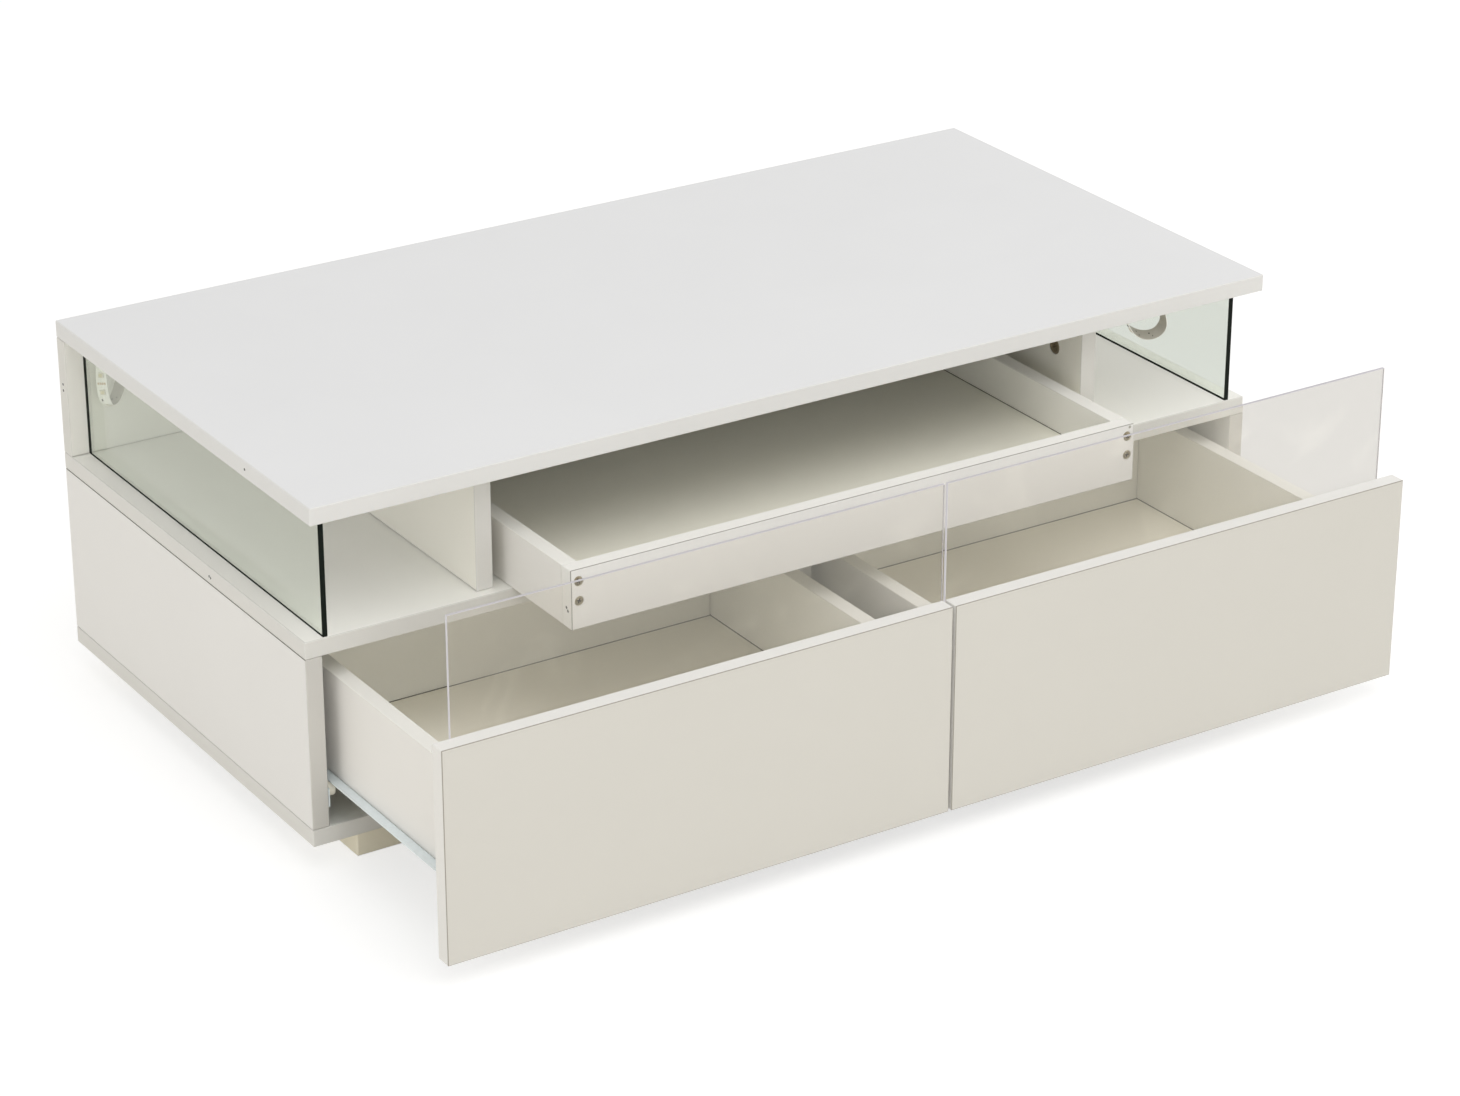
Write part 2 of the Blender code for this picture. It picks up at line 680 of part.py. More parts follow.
def make_tray():
    """The tray that slides on the shelf between the dividers."""
    x_low = TRAY_LEFT_GAP - DIVIDER_INNER
    x_high = DIVIDER_INNER - TRAY_RIGHT_GAP
    top = TRAY_LOW + TRAY_HEIGHT
    tray = pivot("tray_slide", ((x_low + x_high) / 2, TRAY_FACE, TRAY_LOW))
    front = board(
        "tray_front",
        (x_low, TRAY_FACE, TRAY_LOW),
        (x_high, TRAY_FACE + BOX_BOARD, top),
        BOX_BOARD_FINISH,
        tray,
    )
    side_front = TRAY_FACE + BOX_BOARD + SEAT
    sides = []
    for hand, low_x in (("left", x_low), ("right", x_high - BOX_BOARD)):
        sides.append(
            board(
                f"tray_{hand}_side",
                (low_x, side_front, TRAY_LOW),
                (low_x + BOX_BOARD, TRAY_REAR, top),
                BOX_BOARD_FINISH,
                tray,
            )
        )
    inside = (x_low + BOX_BOARD, x_high - BOX_BOARD)
    back = board(
        "tray_back",
        (inside[0] + SEAT, TRAY_REAR - BOX_BOARD, TRAY_LOW),
        (inside[1] - SEAT, TRAY_REAR, top),
        BOX_BOARD_FINISH,
        tray,
    )
    groove = box_cutter(
        "tray_groove",
        (inside[0] - GROOVE_DEPTH, side_front - GROOVE_DEPTH, TRAY_PANEL_LOW - SEAT),
        (inside[1] + GROOVE_DEPTH, TRAY_REAR - BOX_BOARD + GROOVE_DEPTH, TRAY_PANEL_LOW + TRAY_PANEL + SEAT),
    )
    for piece in (*sides, back, front):
        boolean(piece, groove, "DIFFERENCE")
    reach = GROOVE_DEPTH - SEAT
    board(
        "tray_bottom",
        (inside[0] - reach, side_front - reach, TRAY_PANEL_LOW),
        (inside[1] + reach, TRAY_REAR - BOX_BOARD + reach, TRAY_PANEL_LOW + TRAY_PANEL),
        BOX_PANEL_FINISH,
        tray,
        PANE_EDGE,
    )
    fit_tray_screws(tray, front, sides, x_low, x_high, top)


def fit_tray_screws(tray, front, sides, x_low, x_high, top):
    """Two countersunk screws through each end of the tray's front into the ends of its sides."""
    depth = TRAY_SCREW_LENGTH
    head_base = -(TRAY_SCREW_SINK + TRAY_SCREW_HEAD)
    bore = TRAY_SCREW_RADIUS + SEAT
    wide = TRAY_SCREW_HEAD_RADIUS + SEAT
    hole = turned_mesh(
        "countersink",
        [
            (0, OVERRUN),
            (wide, OVERRUN),
            (wide, -TRAY_SCREW_SINK - SEAT),
            (bore, head_base - SEAT),
            (bore, -BOX_BOARD - OVERRUN),
            (0, -BOX_BOARD - OVERRUN),
        ],
        PIN_SIDES,
    )
    screw = turned_mesh(
        "tray_screw",
        [
            (0, -TRAY_SCREW_SINK),
            (TRAY_SCREW_HEAD_RADIUS, -TRAY_SCREW_SINK),
            (TRAY_SCREW_RADIUS, head_base),
            (TRAY_SCREW_RADIUS, -depth),
            (0, -depth),
        ],
        PIN_SIDES,
    )
    cross = (CROSS_WIDTH, TRAY_SCREW_HEAD_RADIUS * CROSS_ARM_SHARE, CROSS_DEPTH + TRAY_SCREW_SINK)
    middles = (x_low + BOX_BOARD / 2, x_high - BOX_BOARD / 2)
    for hand, x, piece in zip(("left", "right"), middles, sides):
        for level, drop in zip(("upper", "lower"), TRAY_SCREW_DROPS):
            place = Vector((x, TRAY_FACE, top - drop))
            tag = f"tray_{hand}_{level}_screw"
            stand = facing(place, (0, -1, 0))
            drill(piece, f"{tag}_bore", [place], (0, 1, 0), bore, depth + SEAT)
            sink = hole.copy()
            sink.transform(stand)
            boolean(front, add_piece(f"{tag}_sink", sink, CUTTERS, (0, 0, 0)), "DIFFERENCE")
            fastener(tag, screw, stand, BRASSED_STEEL, cross, tray)


def loop_stations(start_x, end_x, y, loop_x, half, drop, swing, turn_share, twist_share):
    """Stations of a strip that runs under the top, hangs in a loop and comes back up to it.

    start_x and end_x are the ends of the stuck run, loop_x is the loop's middle and half its half width. drop
    is how far the loop hangs down, and swing how far its lowest point lies on along the run. turn_share turns
    the loop about the upright, and twist_share rolls its lowest point so that its front edge hangs lower.
    """
    flat_z = TOP_LOW - SEAT - STRIP_THICKNESS / 2
    towards = 1 if loop_x > start_x else -1
    stations = [(Vector((start_x, y, flat_z)), Vector((0, 1, 0)))]
    for index in range(STRIP_SECTIONS + 1):
        angle = math.pi * index / STRIP_SECTIONS
        fall = max(math.sin(angle), 0) ** STRIP_FALL_SHARE
        offset = -towards * half * math.cos(angle)
        x = loop_x + offset + towards * swing * fall
        middle = Vector((x, y + turn_share * offset * fall, flat_z - drop * fall))
        stations.append((middle, Vector((-turn_share * fall, 1, twist_share * fall))))
    stations.append((Vector((end_x, y, flat_z)), Vector((0, 1, 0))))
    return stations


def make_lights():
    """The two light strips, stuck under the top with a loop of slack each, and their control box."""
    left = loop_stations(
        start_x=-DIVIDER_OUTER - STRIP_RUN_INSET,
        end_x=GLASS_INSET + GLASS_THICKNESS - END + SEAT,
        y=BACK_FRONT - LEFT_STRIP_BACK_INSET,
        loop_x=LEFT_LOOP_INSET - END,
        half=LEFT_LOOP_HALF,
        drop=LEFT_LOOP_DROP,
        swing=LEFT_LOOP_SWING,
        turn_share=LEFT_LOOP_TURN_SHARE,
        twist_share=LEFT_LOOP_TWIST_SHARE,
    )
    ribbon("left_light_strip", left, STRIP_WHITE)
    right = loop_stations(
        start_x=DIVIDER_OUTER + STRIP_RUN_INSET,
        end_x=END - GLASS_INSET - GLASS_THICKNESS - STRIP_RUN_INSET,
        y=TOP_FRONT + RIGHT_STRIP_SETBACK,
        loop_x=END - RIGHT_LOOP_INSET,
        half=RIGHT_LOOP_HALF,
        drop=RIGHT_LOOP_DROP,
        swing=RIGHT_LOOP_SWING,
        turn_share=RIGHT_LOOP_TURN_SHARE,
        twist_share=RIGHT_LOOP_TWIST_SHARE,
    )
    ribbon("right_light_strip", right, STRIP_WHITE)
    half = CONTROLLER_LENGTH / 2
    high = TOP_LOW - CONTROLLER_DROP
    board(
        "light_controller",
        (-half, BACK_FRONT - SEAT - CONTROLLER_DEPTH, high - CONTROLLER_HEIGHT),
        (half, BACK_FRONT - SEAT, high),
        CONTROLLER_WHITE,
        edge=CONTROLLER_EDGE,
    )


carcass = make_carcass()
bpy.context.view_layer.update()
fit_cam_locks(carcass)
make_drawer(-1, "left")
make_drawer(1, "right")
make_tray()
make_lights()
bpy.context.view_layer.update()
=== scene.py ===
"""The looks of a white coffee table with glass ends, a sliding tray and two wide drawers.

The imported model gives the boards, the panes and the steel. This script dresses
every one of them, and adds the detail that the solids leave out: rolled steel
profiles, screw recesses, ground glass edges, lamps on the light strips and washers.
"""

import logging
import math
from dataclasses import dataclass, field, replace
from enum import Enum
from typing import Callable, Iterable, Sequence

import bmesh
import bpy
from mathutils import Euler, Matrix, Vector


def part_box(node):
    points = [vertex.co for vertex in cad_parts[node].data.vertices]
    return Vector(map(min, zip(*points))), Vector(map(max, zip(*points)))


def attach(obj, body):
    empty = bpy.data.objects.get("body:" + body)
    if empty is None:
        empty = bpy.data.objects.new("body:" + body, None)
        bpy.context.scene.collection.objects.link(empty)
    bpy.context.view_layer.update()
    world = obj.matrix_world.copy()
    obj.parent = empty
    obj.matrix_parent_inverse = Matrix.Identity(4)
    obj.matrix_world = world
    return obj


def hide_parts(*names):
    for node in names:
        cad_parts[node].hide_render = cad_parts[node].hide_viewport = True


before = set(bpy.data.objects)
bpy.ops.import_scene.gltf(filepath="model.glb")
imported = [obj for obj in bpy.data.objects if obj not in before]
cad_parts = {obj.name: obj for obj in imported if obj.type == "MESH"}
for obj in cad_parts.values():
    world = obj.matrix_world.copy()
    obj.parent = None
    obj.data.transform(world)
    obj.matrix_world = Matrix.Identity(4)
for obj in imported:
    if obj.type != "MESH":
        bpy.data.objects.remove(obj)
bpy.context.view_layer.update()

MM = 0.001
LOG = logging.getLogger("coffee_table")

Colour = tuple[float, float, float]
Point = tuple[float, float, float]
Span = tuple[float, float]
Profile = list[tuple[float, float]]

BLACK: Colour = (0.0, 0.0, 0.0)
WHITE: Colour = (1.0, 1.0, 1.0)

# The curve of an ordinary screen: a straight foot up to the knee, and a power above it.
SCREEN_STEPS = 255
SCREEN_KNEE = 0.04045
SCREEN_FOOT = 12.92
SCREEN_OFFSET = 0.055
SCREEN_POWER = 2.4


def display(red: int, green: int, blue: int) -> Colour:
    """Turns a colour as a screen shows it into the linear colour that a shader takes.

    Args:
        red: Red from 0 to 255.
        green: Green from 0 to 255.
        blue: Blue from 0 to 255.

    Returns:
        The linear colour.
    """
    channels = []
    for value in (red, green, blue):
        share = value / SCREEN_STEPS
        if share <= SCREEN_KNEE:
            channels.append(share / SCREEN_FOOT)
        else:
            channels.append(((share + SCREEN_OFFSET) / (1 + SCREEN_OFFSET)) ** SCREEN_POWER)
    return channels[0], channels[1], channels[2]


class Side(Enum):
    """The two ends of the table, or the two sides of one drawer."""

    LEFT = "left"
    RIGHT = "right"

    @property
    def sign(self) -> int:
        """Which way along X this side lies from the middle."""
        return -1 if self is Side.LEFT else 1


class Thin(Enum):
    """The axis along which a board or a pane is thin."""

    X = (1.0, 0.0, 0.0)
    Y = (0.0, 1.0, 0.0)
    Z = (0.0, 0.0, 1.0)


class Facing(Enum):
    """The two ways in which a strip's lamps can look from its ribbon."""

    OUT = 1
    IN = -1


class Graph:
    """A short way to write one shader node tree."""

    COLUMNS = 9
    COLUMN_WIDTH = 220
    ROW_HEIGHT = 260

    def __init__(self, tree: bpy.types.NodeTree) -> None:
        """Starts on an empty tree.

        Args:
            tree: The tree to write into.
        """
        self.tree = tree
        self.tree.nodes.clear()
        self._count = 0

    def node(self, kind: str, **settings: object) -> bpy.types.Node:
        """Adds a node.

        Args:
            kind: The node's type name.
            settings: Attributes to set on it.

        Returns:
            The new node.
        """
        made = self.tree.nodes.new(kind)
        row, column = divmod(self._count, self.COLUMNS)
        made.location = (self.COLUMN_WIDTH * column, -self.ROW_HEIGHT * row)
        self._count += 1
        for name, value in settings.items():
            setattr(made, name, value)
        return made

    def feed(self, socket: bpy.types.NodeSocket, value: object) -> None:
        """Links a socket to the value if it is a socket too, and otherwise sets it.

        Args:
            socket: The input to feed.
            value: A socket, a number, a vector or a colour.
        """
        if isinstance(value, bpy.types.NodeSocket):
            self.tree.links.new(value, socket)
        elif socket.type == "RGBA" and len(value) == 3:
            socket.default_value = (*value, 1.0)
        else:
            socket.default_value = value

    def maths(self, operation: str, *values: object, clamp: bool = False) -> bpy.types.NodeSocket:
        """A Math node.

        Args:
            operation: The node's operation.
            values: Its inputs in order.
            clamp: True to keep the result from 0 to 1.

        Returns:
            The result.
        """
        made = self.node("ShaderNodeMath", operation=operation, use_clamp=clamp)
        for socket, value in zip(made.inputs, values):
            self.feed(socket, value)
        return made.outputs[0]

    def vector(self, operation: str, *values: object) -> bpy.types.Node:
        """A Vector Math node.

        Args:
            operation: The node's operation.
            values: Its inputs in order.

        Returns:
            The node.
        """
        made = self.node("ShaderNodeVectorMath", operation=operation)
        for socket, value in zip(made.inputs, values):
            self.feed(socket, value)
        return made

    def ramp(
        self, value: object, low: object, high: object, start: object = 0.0, end: object = 1.0
    ) -> bpy.types.NodeSocket:
        """A smooth step of a value from one range to another.

        Args:
            value: What is stepped.
            low: Where the step starts.
            high: Where it ends.
            start: The result at low.
            end: The result at high.

        Returns:
            The result.
        """
        made = self.node("ShaderNodeMapRange", interpolation_type="SMOOTHSTEP")
        for name, given in (
            ("Value", value),
            ("From Min", low),
            ("From Max", high),
            ("To Min", start),
            ("To Max", end),
        ):
            self.feed(made.inputs[name], given)
        return made.outputs["Result"]

    def mix(
        self, share: object, one: object, other: object, blend: str = "MIX"
    ) -> bpy.types.NodeSocket:
        """A mix of two colours.

        Args:
            share: How much of the other colour there is.
            one: The first colour.
            other: The other colour.
            blend: The node's blend type.

        Returns:
            The mixed colour.
        """
        made = self.node("ShaderNodeMix", data_type="RGBA", blend_type=blend)
        wanted = {"Factor_Float": share, "A_Color": one, "B_Color": other}
        for socket in made.inputs:
            if socket.identifier in wanted:
                self.feed(socket, wanted[socket.identifier])
        return next(socket for socket in made.outputs if socket.identifier == "Result_Color")

    def noise(
        self, place: object, scale: object, detail: float = 2.0, distortion: float = 0.0
    ) -> bpy.types.NodeSocket:
        """Smooth noise from 0 to 1.

        Args:
            place: The coordinates.
            scale: The number of features in a metre.
            detail: How many finer layers are added.
            distortion: How much the noise is swirled.

        Returns:
            The noise.
        """
        made = self.node("ShaderNodeTexNoise")
        self.feed(made.inputs["Vector"], place)
        self.feed(made.inputs["Scale"], scale)
        self.feed(made.inputs["Detail"], detail)
        self.feed(made.inputs["Distortion"], distortion)
        return made.outputs[0]

    def object_place(self) -> bpy.types.NodeSocket:
        """The coordinates of the piece itself, which ride with it."""
        return self.node("ShaderNodeTexCoord").outputs["Object"]


@dataclass(frozen=True)
class GroupSocket:
    """One named input of a node group."""

    name: str
    default: object
    kind: str = "NodeSocketFloat"


@dataclass(frozen=True)
class EffectSizes:
    """The numbers behind the effects.

    Scales are in features a metre, and a step is where a ramp starts and ends.
    """

    out_of_reach: float = 10.0
    broad_facing: float = 0.85
    lined_facing: float = 0.5
    wide_pebble_scale: float = 0.22
    wide_pebble_share: float = 0.6
    cloud_swirl: float = 0.4
    smear_swirl: float = 1.6
    smear_bound: float = 0.78
    smear_reach: float = 0.42
    smear_blur: float = 0.22
    hair_scale: Point = (70.0, 900.0, 900.0)
    hair_swirl: float = 0.5
    hair_step: Span = (0.70, 0.76)
    hair_patch_scale: float = 14.0
    hair_patch_step: Span = (0.55, 0.68)
    speck_scale: float = 130.0
    speck_size_scale: float = 60.0
    speck_core: float = 0.5
    speck_patch_scale: float = 33.0
    speck_patch_step: Span = (0.58, 0.62)
    stain_swirl: float = 0.6
    stain_step: Span = (0.42, 0.66)
    edge_step: Span = (0.52, 0.60)


class EffectGroups:
    """The node groups that more than one finish uses, each built once."""

    def __init__(self, sizes: EffectSizes) -> None:
        """Starts with no group built.

        Args:
            sizes: The numbers behind the effects.
        """
        self._sizes = sizes
        self._built: dict[str, bpy.types.NodeTree] = {}

    def _open(
        self, name: str, inputs: Sequence[GroupSocket], outputs: Sequence[str]
    ) -> tuple[Graph, dict[str, bpy.types.NodeSocket], bpy.types.Node]:
        """Makes an empty group with its sockets.

        Args:
            name: The group's name.
            inputs: Its inputs.
            outputs: The names of its outputs, which are all values.

        Returns:
            The graph to write into, the inputs by name, and the output node.
        """
        tree = bpy.data.node_groups.new(name, "ShaderNodeTree")
        for socket in inputs:
            made = tree.interface.new_socket(
                name=socket.name, in_out="INPUT", socket_type=socket.kind
            )
            made.default_value = socket.default
        for label in outputs:
            tree.interface.new_socket(name=label, in_out="OUTPUT", socket_type="NodeSocketFloat")
        graph = Graph(tree)
        source = graph.node("NodeGroupInput")
        target = graph.node("NodeGroupOutput")
        self._built[name] = tree
        return graph, {socket.name: source.outputs[socket.name] for socket in inputs}, target

    def board_zones(self) -> bpy.types.NodeTree:
        """Masks of a board: its edge band, the line round its faces, and its rubbed rim. The line
        is a glue line, and on the side panels and the drawer and tray bottoms it is also painted
        shade in the joint.

        Returns:
            The group. Low Corner and High Corner are the board's box and Thin Axis is its thin way.
            Band is 1 on the edge band, Line on the line round the faces, and Rim near the edges.
        """
        if "board_zones" in self._built:
            return self._built["board_zones"]
        graph, given, target = self._open(
            "board_zones",
            (
                GroupSocket("Low Corner", (0.0, 0.0, 0.0), "NodeSocketVector"),
                GroupSocket("High Corner", (1.0, 1.0, 1.0), "NodeSocketVector"),
                GroupSocket("Thin Axis", (0.0, 0.0, 1.0), "NodeSocketVector"),
                GroupSocket("Band Thickness", 0.8 * MM),
                GroupSocket("Line Width", 0.5 * MM),
                GroupSocket("Rim Width", 4 * MM),
            ),
            ("Band", "Line", "Rim"),
        )
        sizes = self._sizes
        place = graph.object_place()
        below = graph.vector("SUBTRACT", place, given["Low Corner"]).outputs[0]
        above = graph.vector("SUBTRACT", given["High Corner"], place).outputs[0]
        nearest = graph.vector("MINIMUM", below, above).outputs[0]
        lift = graph.vector("SCALE", given["Thin Axis"])
        lift.inputs["Scale"].default_value = sizes.out_of_reach
        flat = graph.node("ShaderNodeSeparateXYZ")
        graph.feed(flat.inputs[0], graph.vector("ADD", nearest, lift.outputs[0]).outputs[0])
        least = graph.maths("MINIMUM", flat.outputs[0], flat.outputs[1])
        least = graph.maths("MINIMUM", least, flat.outputs[2])
        normal = graph.node("ShaderNodeNewGeometry").outputs["Normal"]
        along = graph.vector("DOT_PRODUCT", normal, given["Thin Axis"]).outputs["Value"]
        broad = graph.maths("GREATER_THAN", graph.maths("ABSOLUTE", along), sizes.broad_facing)
        lined = graph.maths("GREATER_THAN", graph.maths("ABSOLUTE", along), sizes.lined_facing)
        in_band = graph.maths("LESS_THAN", least, given["Band Thickness"])
        band = graph.maths("MAXIMUM", graph.maths("SUBTRACT", 1.0, broad), in_band)
        off = graph.maths("ABSOLUTE", graph.maths("SUBTRACT", least, given["Band Thickness"]))
        line = graph.ramp(off, 0.0, given["Line Width"], 1.0, 0.0)
        rim = graph.ramp(least, 0.0, given["Rim Width"], 1.0, 0.0)
        graph.feed(target.inputs["Band"], band)
        graph.feed(target.inputs["Line"], graph.maths("MULTIPLY", line, lined))
        graph.feed(target.inputs["Rim"], rim)
        return self._built["board_zones"]

    def press_texture(self) -> bpy.types.NodeTree:
        """The fine pebbling of a pressed surface and its faint cloudiness.

        Returns:
            The group. Pebble Scale and Cloud Scale are in features a metre.
            Height feeds a bump, and Cloud is centred on 0.
        """
        if "press_texture" in self._built:
            return self._built["press_texture"]
        graph, given, target = self._open(
            "press_texture",
            (GroupSocket("Pebble Scale", 900.0), GroupSocket("Cloud Scale", 7.0)),
            ("Height", "Cloud"),
        )
        sizes = self._sizes
        place = graph.object_place()
        pebbles = graph.noise(place, given["Pebble Scale"], detail=3.0)
        wide_scale = graph.maths("MULTIPLY", given["Pebble Scale"], sizes.wide_pebble_scale)
        wide = graph.noise(place, wide_scale, detail=1.0)
        height = graph.maths("ADD", pebbles, graph.maths("MULTIPLY", wide, sizes.wide_pebble_share))
        cloud = graph.noise(place, given["Cloud Scale"], detail=3.0, distortion=sizes.cloud_swirl)
        graph.feed(target.inputs["Height"], height)
        graph.feed(target.inputs["Cloud"], graph.maths("SUBTRACT", cloud, 0.5))
        return self._built["press_texture"]

    def handling_marks(self) -> bpy.types.NodeTree:
        """Wiped smears, hairline scratches and specks of dust.

        Returns:
            The group. Amount is how readily smears form. Smear, Hairline and Dust are masks.
        """
        if "handling_marks" in self._built:
            return self._built["handling_marks"]
        graph, given, target = self._open(
            "handling_marks",
            (
                GroupSocket("Smear Scale", 9.0),
                GroupSocket("Amount", 0.5),
                GroupSocket("Dust Size", 0.09),
            ),
            ("Smear", "Hairline", "Dust"),
        )
        sizes = self._sizes
        place = graph.object_place()
        swirl = graph.noise(place, given["Smear Scale"], detail=4.0, distortion=sizes.smear_swirl)
        reach = graph.maths("MULTIPLY", given["Amount"], sizes.smear_reach)
        bound = graph.maths("SUBTRACT", sizes.smear_bound, reach)
        smear = graph.ramp(swirl, bound, graph.maths("ADD", bound, sizes.smear_blur))
        fine = graph.vector("MULTIPLY", place, sizes.hair_scale).outputs[0]
        hair = graph.ramp(
            graph.noise(fine, 1.0, detail=1.0, distortion=sizes.hair_swirl), *sizes.hair_step
        )
        patch = graph.ramp(
            graph.noise(place, sizes.hair_patch_scale, detail=1.0), *sizes.hair_patch_step
        )
        cells = graph.node("ShaderNodeTexVoronoi")
        graph.feed(cells.inputs["Vector"], place)
        graph.feed(cells.inputs["Scale"], sizes.speck_scale)
        variety = graph.noise(place, sizes.speck_size_scale, detail=0.0)
        size = graph.maths("MULTIPLY", variety, given["Dust Size"])
        core = graph.maths("MULTIPLY", size, sizes.speck_core)
        dust = graph.ramp(cells.outputs["Distance"], core, size, 1.0, 0.0)
        sparse = graph.ramp(
            graph.noise(place, sizes.speck_patch_scale, detail=2.0), *sizes.speck_patch_step
        )
        graph.feed(target.inputs["Smear"], smear)
        graph.feed(target.inputs["Hairline"], graph.maths("MULTIPLY", hair, patch))
        graph.feed(target.inputs["Dust"], graph.maths("MULTIPLY", dust, sparse))
        return self._built["handling_marks"]

    def worn_metal(self) -> bpy.types.NodeTree:
        """The grain, stains and bright edges of plain or plated metal. The bright edges are partly
        wear, partly a painted highlight.

        Returns:
            The group. Grain is a fine value, Stain is a soft mask, and Edge is 1 on exposed edges.
        """
        if "worn_metal" in self._built:
            return self._built["worn_metal"]
        graph, given, target = self._open(
            "worn_metal",
            (GroupSocket("Grain Scale", 1800.0), GroupSocket("Stain Scale", 160.0)),
            ("Grain", "Stain", "Edge"),
        )
        sizes = self._sizes
        place = graph.object_place()
        grain = graph.noise(place, given["Grain Scale"], detail=2.0)
        blots = graph.noise(place, given["Stain Scale"], detail=3.0, distortion=sizes.stain_swirl)
        stain = graph.ramp(blots, *sizes.stain_step)
        point = graph.node("ShaderNodeNewGeometry").outputs["Pointiness"]
        edge = graph.ramp(point, *sizes.edge_step)
        graph.feed(target.inputs["Grain"], grain)
        graph.feed(target.inputs["Stain"], stain)
        graph.feed(target.inputs["Edge"], edge)
        return self._built["worn_metal"]

    def place(self, graph: Graph, tree: bpy.types.NodeTree, **values: object) -> bpy.types.Node:
        """Places a group in a graph with its own values.

        Args:
            graph: The material's graph.
            tree: The group.
            values: Its inputs by name, with underscores for spaces.

        Returns:
            The group's node.
        """
        made = graph.node("ShaderNodeGroup")
        made.node_tree = tree
        for name, value in values.items():
            graph.feed(made.inputs[name.replace("_", " ")], value)
        return made


EFFECTS = EffectGroups(EffectSizes())


@dataclass(frozen=True)
class Extent:
    """The box and thin axis of a board or a pane."""

    low: Point
    high: Point
    thin: Thin

    @classmethod
    def of(cls, node: str) -> "Extent":
        """Reads a CAD node's box, and takes its shortest side as the thin one.

        Args:
            node: The CAD node's name.

        Returns:
            The extent.
        """
        low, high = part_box(node)
        size = high - low
        shortest = min(range(3), key=lambda axis: size[axis])
        return cls(tuple(low), tuple(high), (Thin.X, Thin.Y, Thin.Z)[shortest])

    def shrunk(self, by: Point) -> "Extent":
        """The same extent with each side moved in.

        Args:
            by: How far the sides move in along X, Y and Z.

        Returns:
            The smaller extent.
        """
        low = tuple(value + step for value, step in zip(self.low, by))
        high = tuple(value - step for value, step in zip(self.high, by))
        return Extent(low, high, self.thin)


def principled(name: str) -> tuple[bpy.types.Material, Graph, bpy.types.Node]:
    """Starts a material that ends in one Principled shader.

    Args:
        name: The material's name.

    Returns:
        The material, its graph and the shader.
    """
    material = bpy.data.materials.new(name)
    material.use_nodes = True
    graph = Graph(material.node_tree)
    output = graph.node("ShaderNodeOutputMaterial")
    shader = graph.node("ShaderNodeBsdfPrincipled")
    graph.feed(output.inputs["Surface"], shader.outputs["BSDF"])
    return material, graph, shader


def bumped(
    graph: Graph, shader: bpy.types.Node, height: object, strength: float, depth: float
) -> None:
    """Feeds a height to a shader's normal.

    Args:
        graph: The material's graph.
        shader: The shader.
        height: The height.
        strength: The share of the bump that shows.
        depth: How deep the height's whole range is, in metres.
    """
    bump = graph.node("ShaderNodeBump")
    bump.inputs["Strength"].default_value = strength
    bump.inputs["Distance"].default_value = depth
    graph.feed(bump.inputs["Height"], height)
    graph.feed(shader.inputs["Normal"], bump.outputs["Normal"])


@dataclass(frozen=True)
class BoardFinish:
    """A faced board with an edge band glued round it."""

    name: str
    face: Colour
    band: Colour
    line: Colour
    line_strength: float = 0.5
    band_thickness: float = 0.8 * MM
    line_width: float = 0.5 * MM
    face_roughness: float = 0.38
    band_roughness: float = 0.45
    pebble_scale: float = 900.0
    pebble_depth: float = 0.02 * MM
    cloudiness: float = 0.05
    smears: float = 0.25
    coat: float = 0.0
    coat_roughness: float = 0.12
    specular: float = 0.38
    smear_roughness: float = 0.09
    cloud_roughness: float = 0.08
    rim_roughness: float = 0.05
    dust: Colour = display(150, 146, 138)
    dust_share: float = 0.25
    scratch_height: float = -0.25
    groove_height: float = -1.5
    bump: float = 0.6

    def material(self, label: str, extent: Extent) -> bpy.types.Material:
        """Builds the finish for one board.

        Args:
            label: The board's name.
            extent: The board's box and thin axis.

        Returns:
            The material.
        """
        material, graph, shader = principled(f"{self.name}_{label}")
        zones = EFFECTS.place(
            graph,
            EFFECTS.board_zones(),
            Low_Corner=extent.low,
            High_Corner=extent.high,
            Thin_Axis=extent.thin.value,
            Band_Thickness=self.band_thickness,
            Line_Width=self.line_width,
        )
        press = EFFECTS.place(graph, EFFECTS.press_texture(), Pebble_Scale=self.pebble_scale)
        marks = EFFECTS.place(graph, EFFECTS.handling_marks(), Amount=self.smears)
        colour = graph.mix(zones.outputs["Band"], self.face, self.band)
        line = graph.maths("MULTIPLY", zones.outputs["Line"], self.line_strength)
        colour = graph.mix(line, colour, self.line)
        shade = graph.maths("MULTIPLY_ADD", press.outputs["Cloud"], self.cloudiness, 1.0)
        tone = graph.node("ShaderNodeCombineColor")
        for socket in tone.inputs:
            graph.feed(socket, shade)
        colour = graph.mix(1.0, colour, tone.outputs[0], "MULTIPLY")
        dust = graph.maths("MULTIPLY", marks.outputs["Dust"], self.dust_share)
        colour = graph.mix(dust, colour, self.dust)
        graph.feed(shader.inputs["Base Color"], colour)
        band = zones.outputs["Band"]
        rough = graph.ramp(band, 0.0, 1.0, self.face_roughness, self.band_roughness)
        rough = graph.maths("MULTIPLY_ADD", marks.outputs["Smear"], self.smear_roughness, rough)
        rough = graph.maths("MULTIPLY_ADD", press.outputs["Cloud"], self.cloud_roughness, rough)
        rough = graph.maths("MULTIPLY_ADD", zones.outputs["Rim"], self.rim_roughness, rough)
        graph.feed(shader.inputs["Roughness"], graph.maths("ADD", rough, 0.0, clamp=True))
        shader.inputs["Specular IOR Level"].default_value = self.specular
        shader.inputs["Coat Weight"].default_value = self.coat
        shader.inputs["Coat Roughness"].default_value = self.coat_roughness
        scratch = graph.maths("MULTIPLY", marks.outputs["Hairline"], self.scratch_height)
        height = graph.maths("ADD", press.outputs["Height"], scratch)
        groove = graph.maths("MULTIPLY", zones.outputs["Line"], self.groove_height)
        bumped(graph, shader, graph.maths("ADD", height, groove), self.bump, self.pebble_depth)
        return material


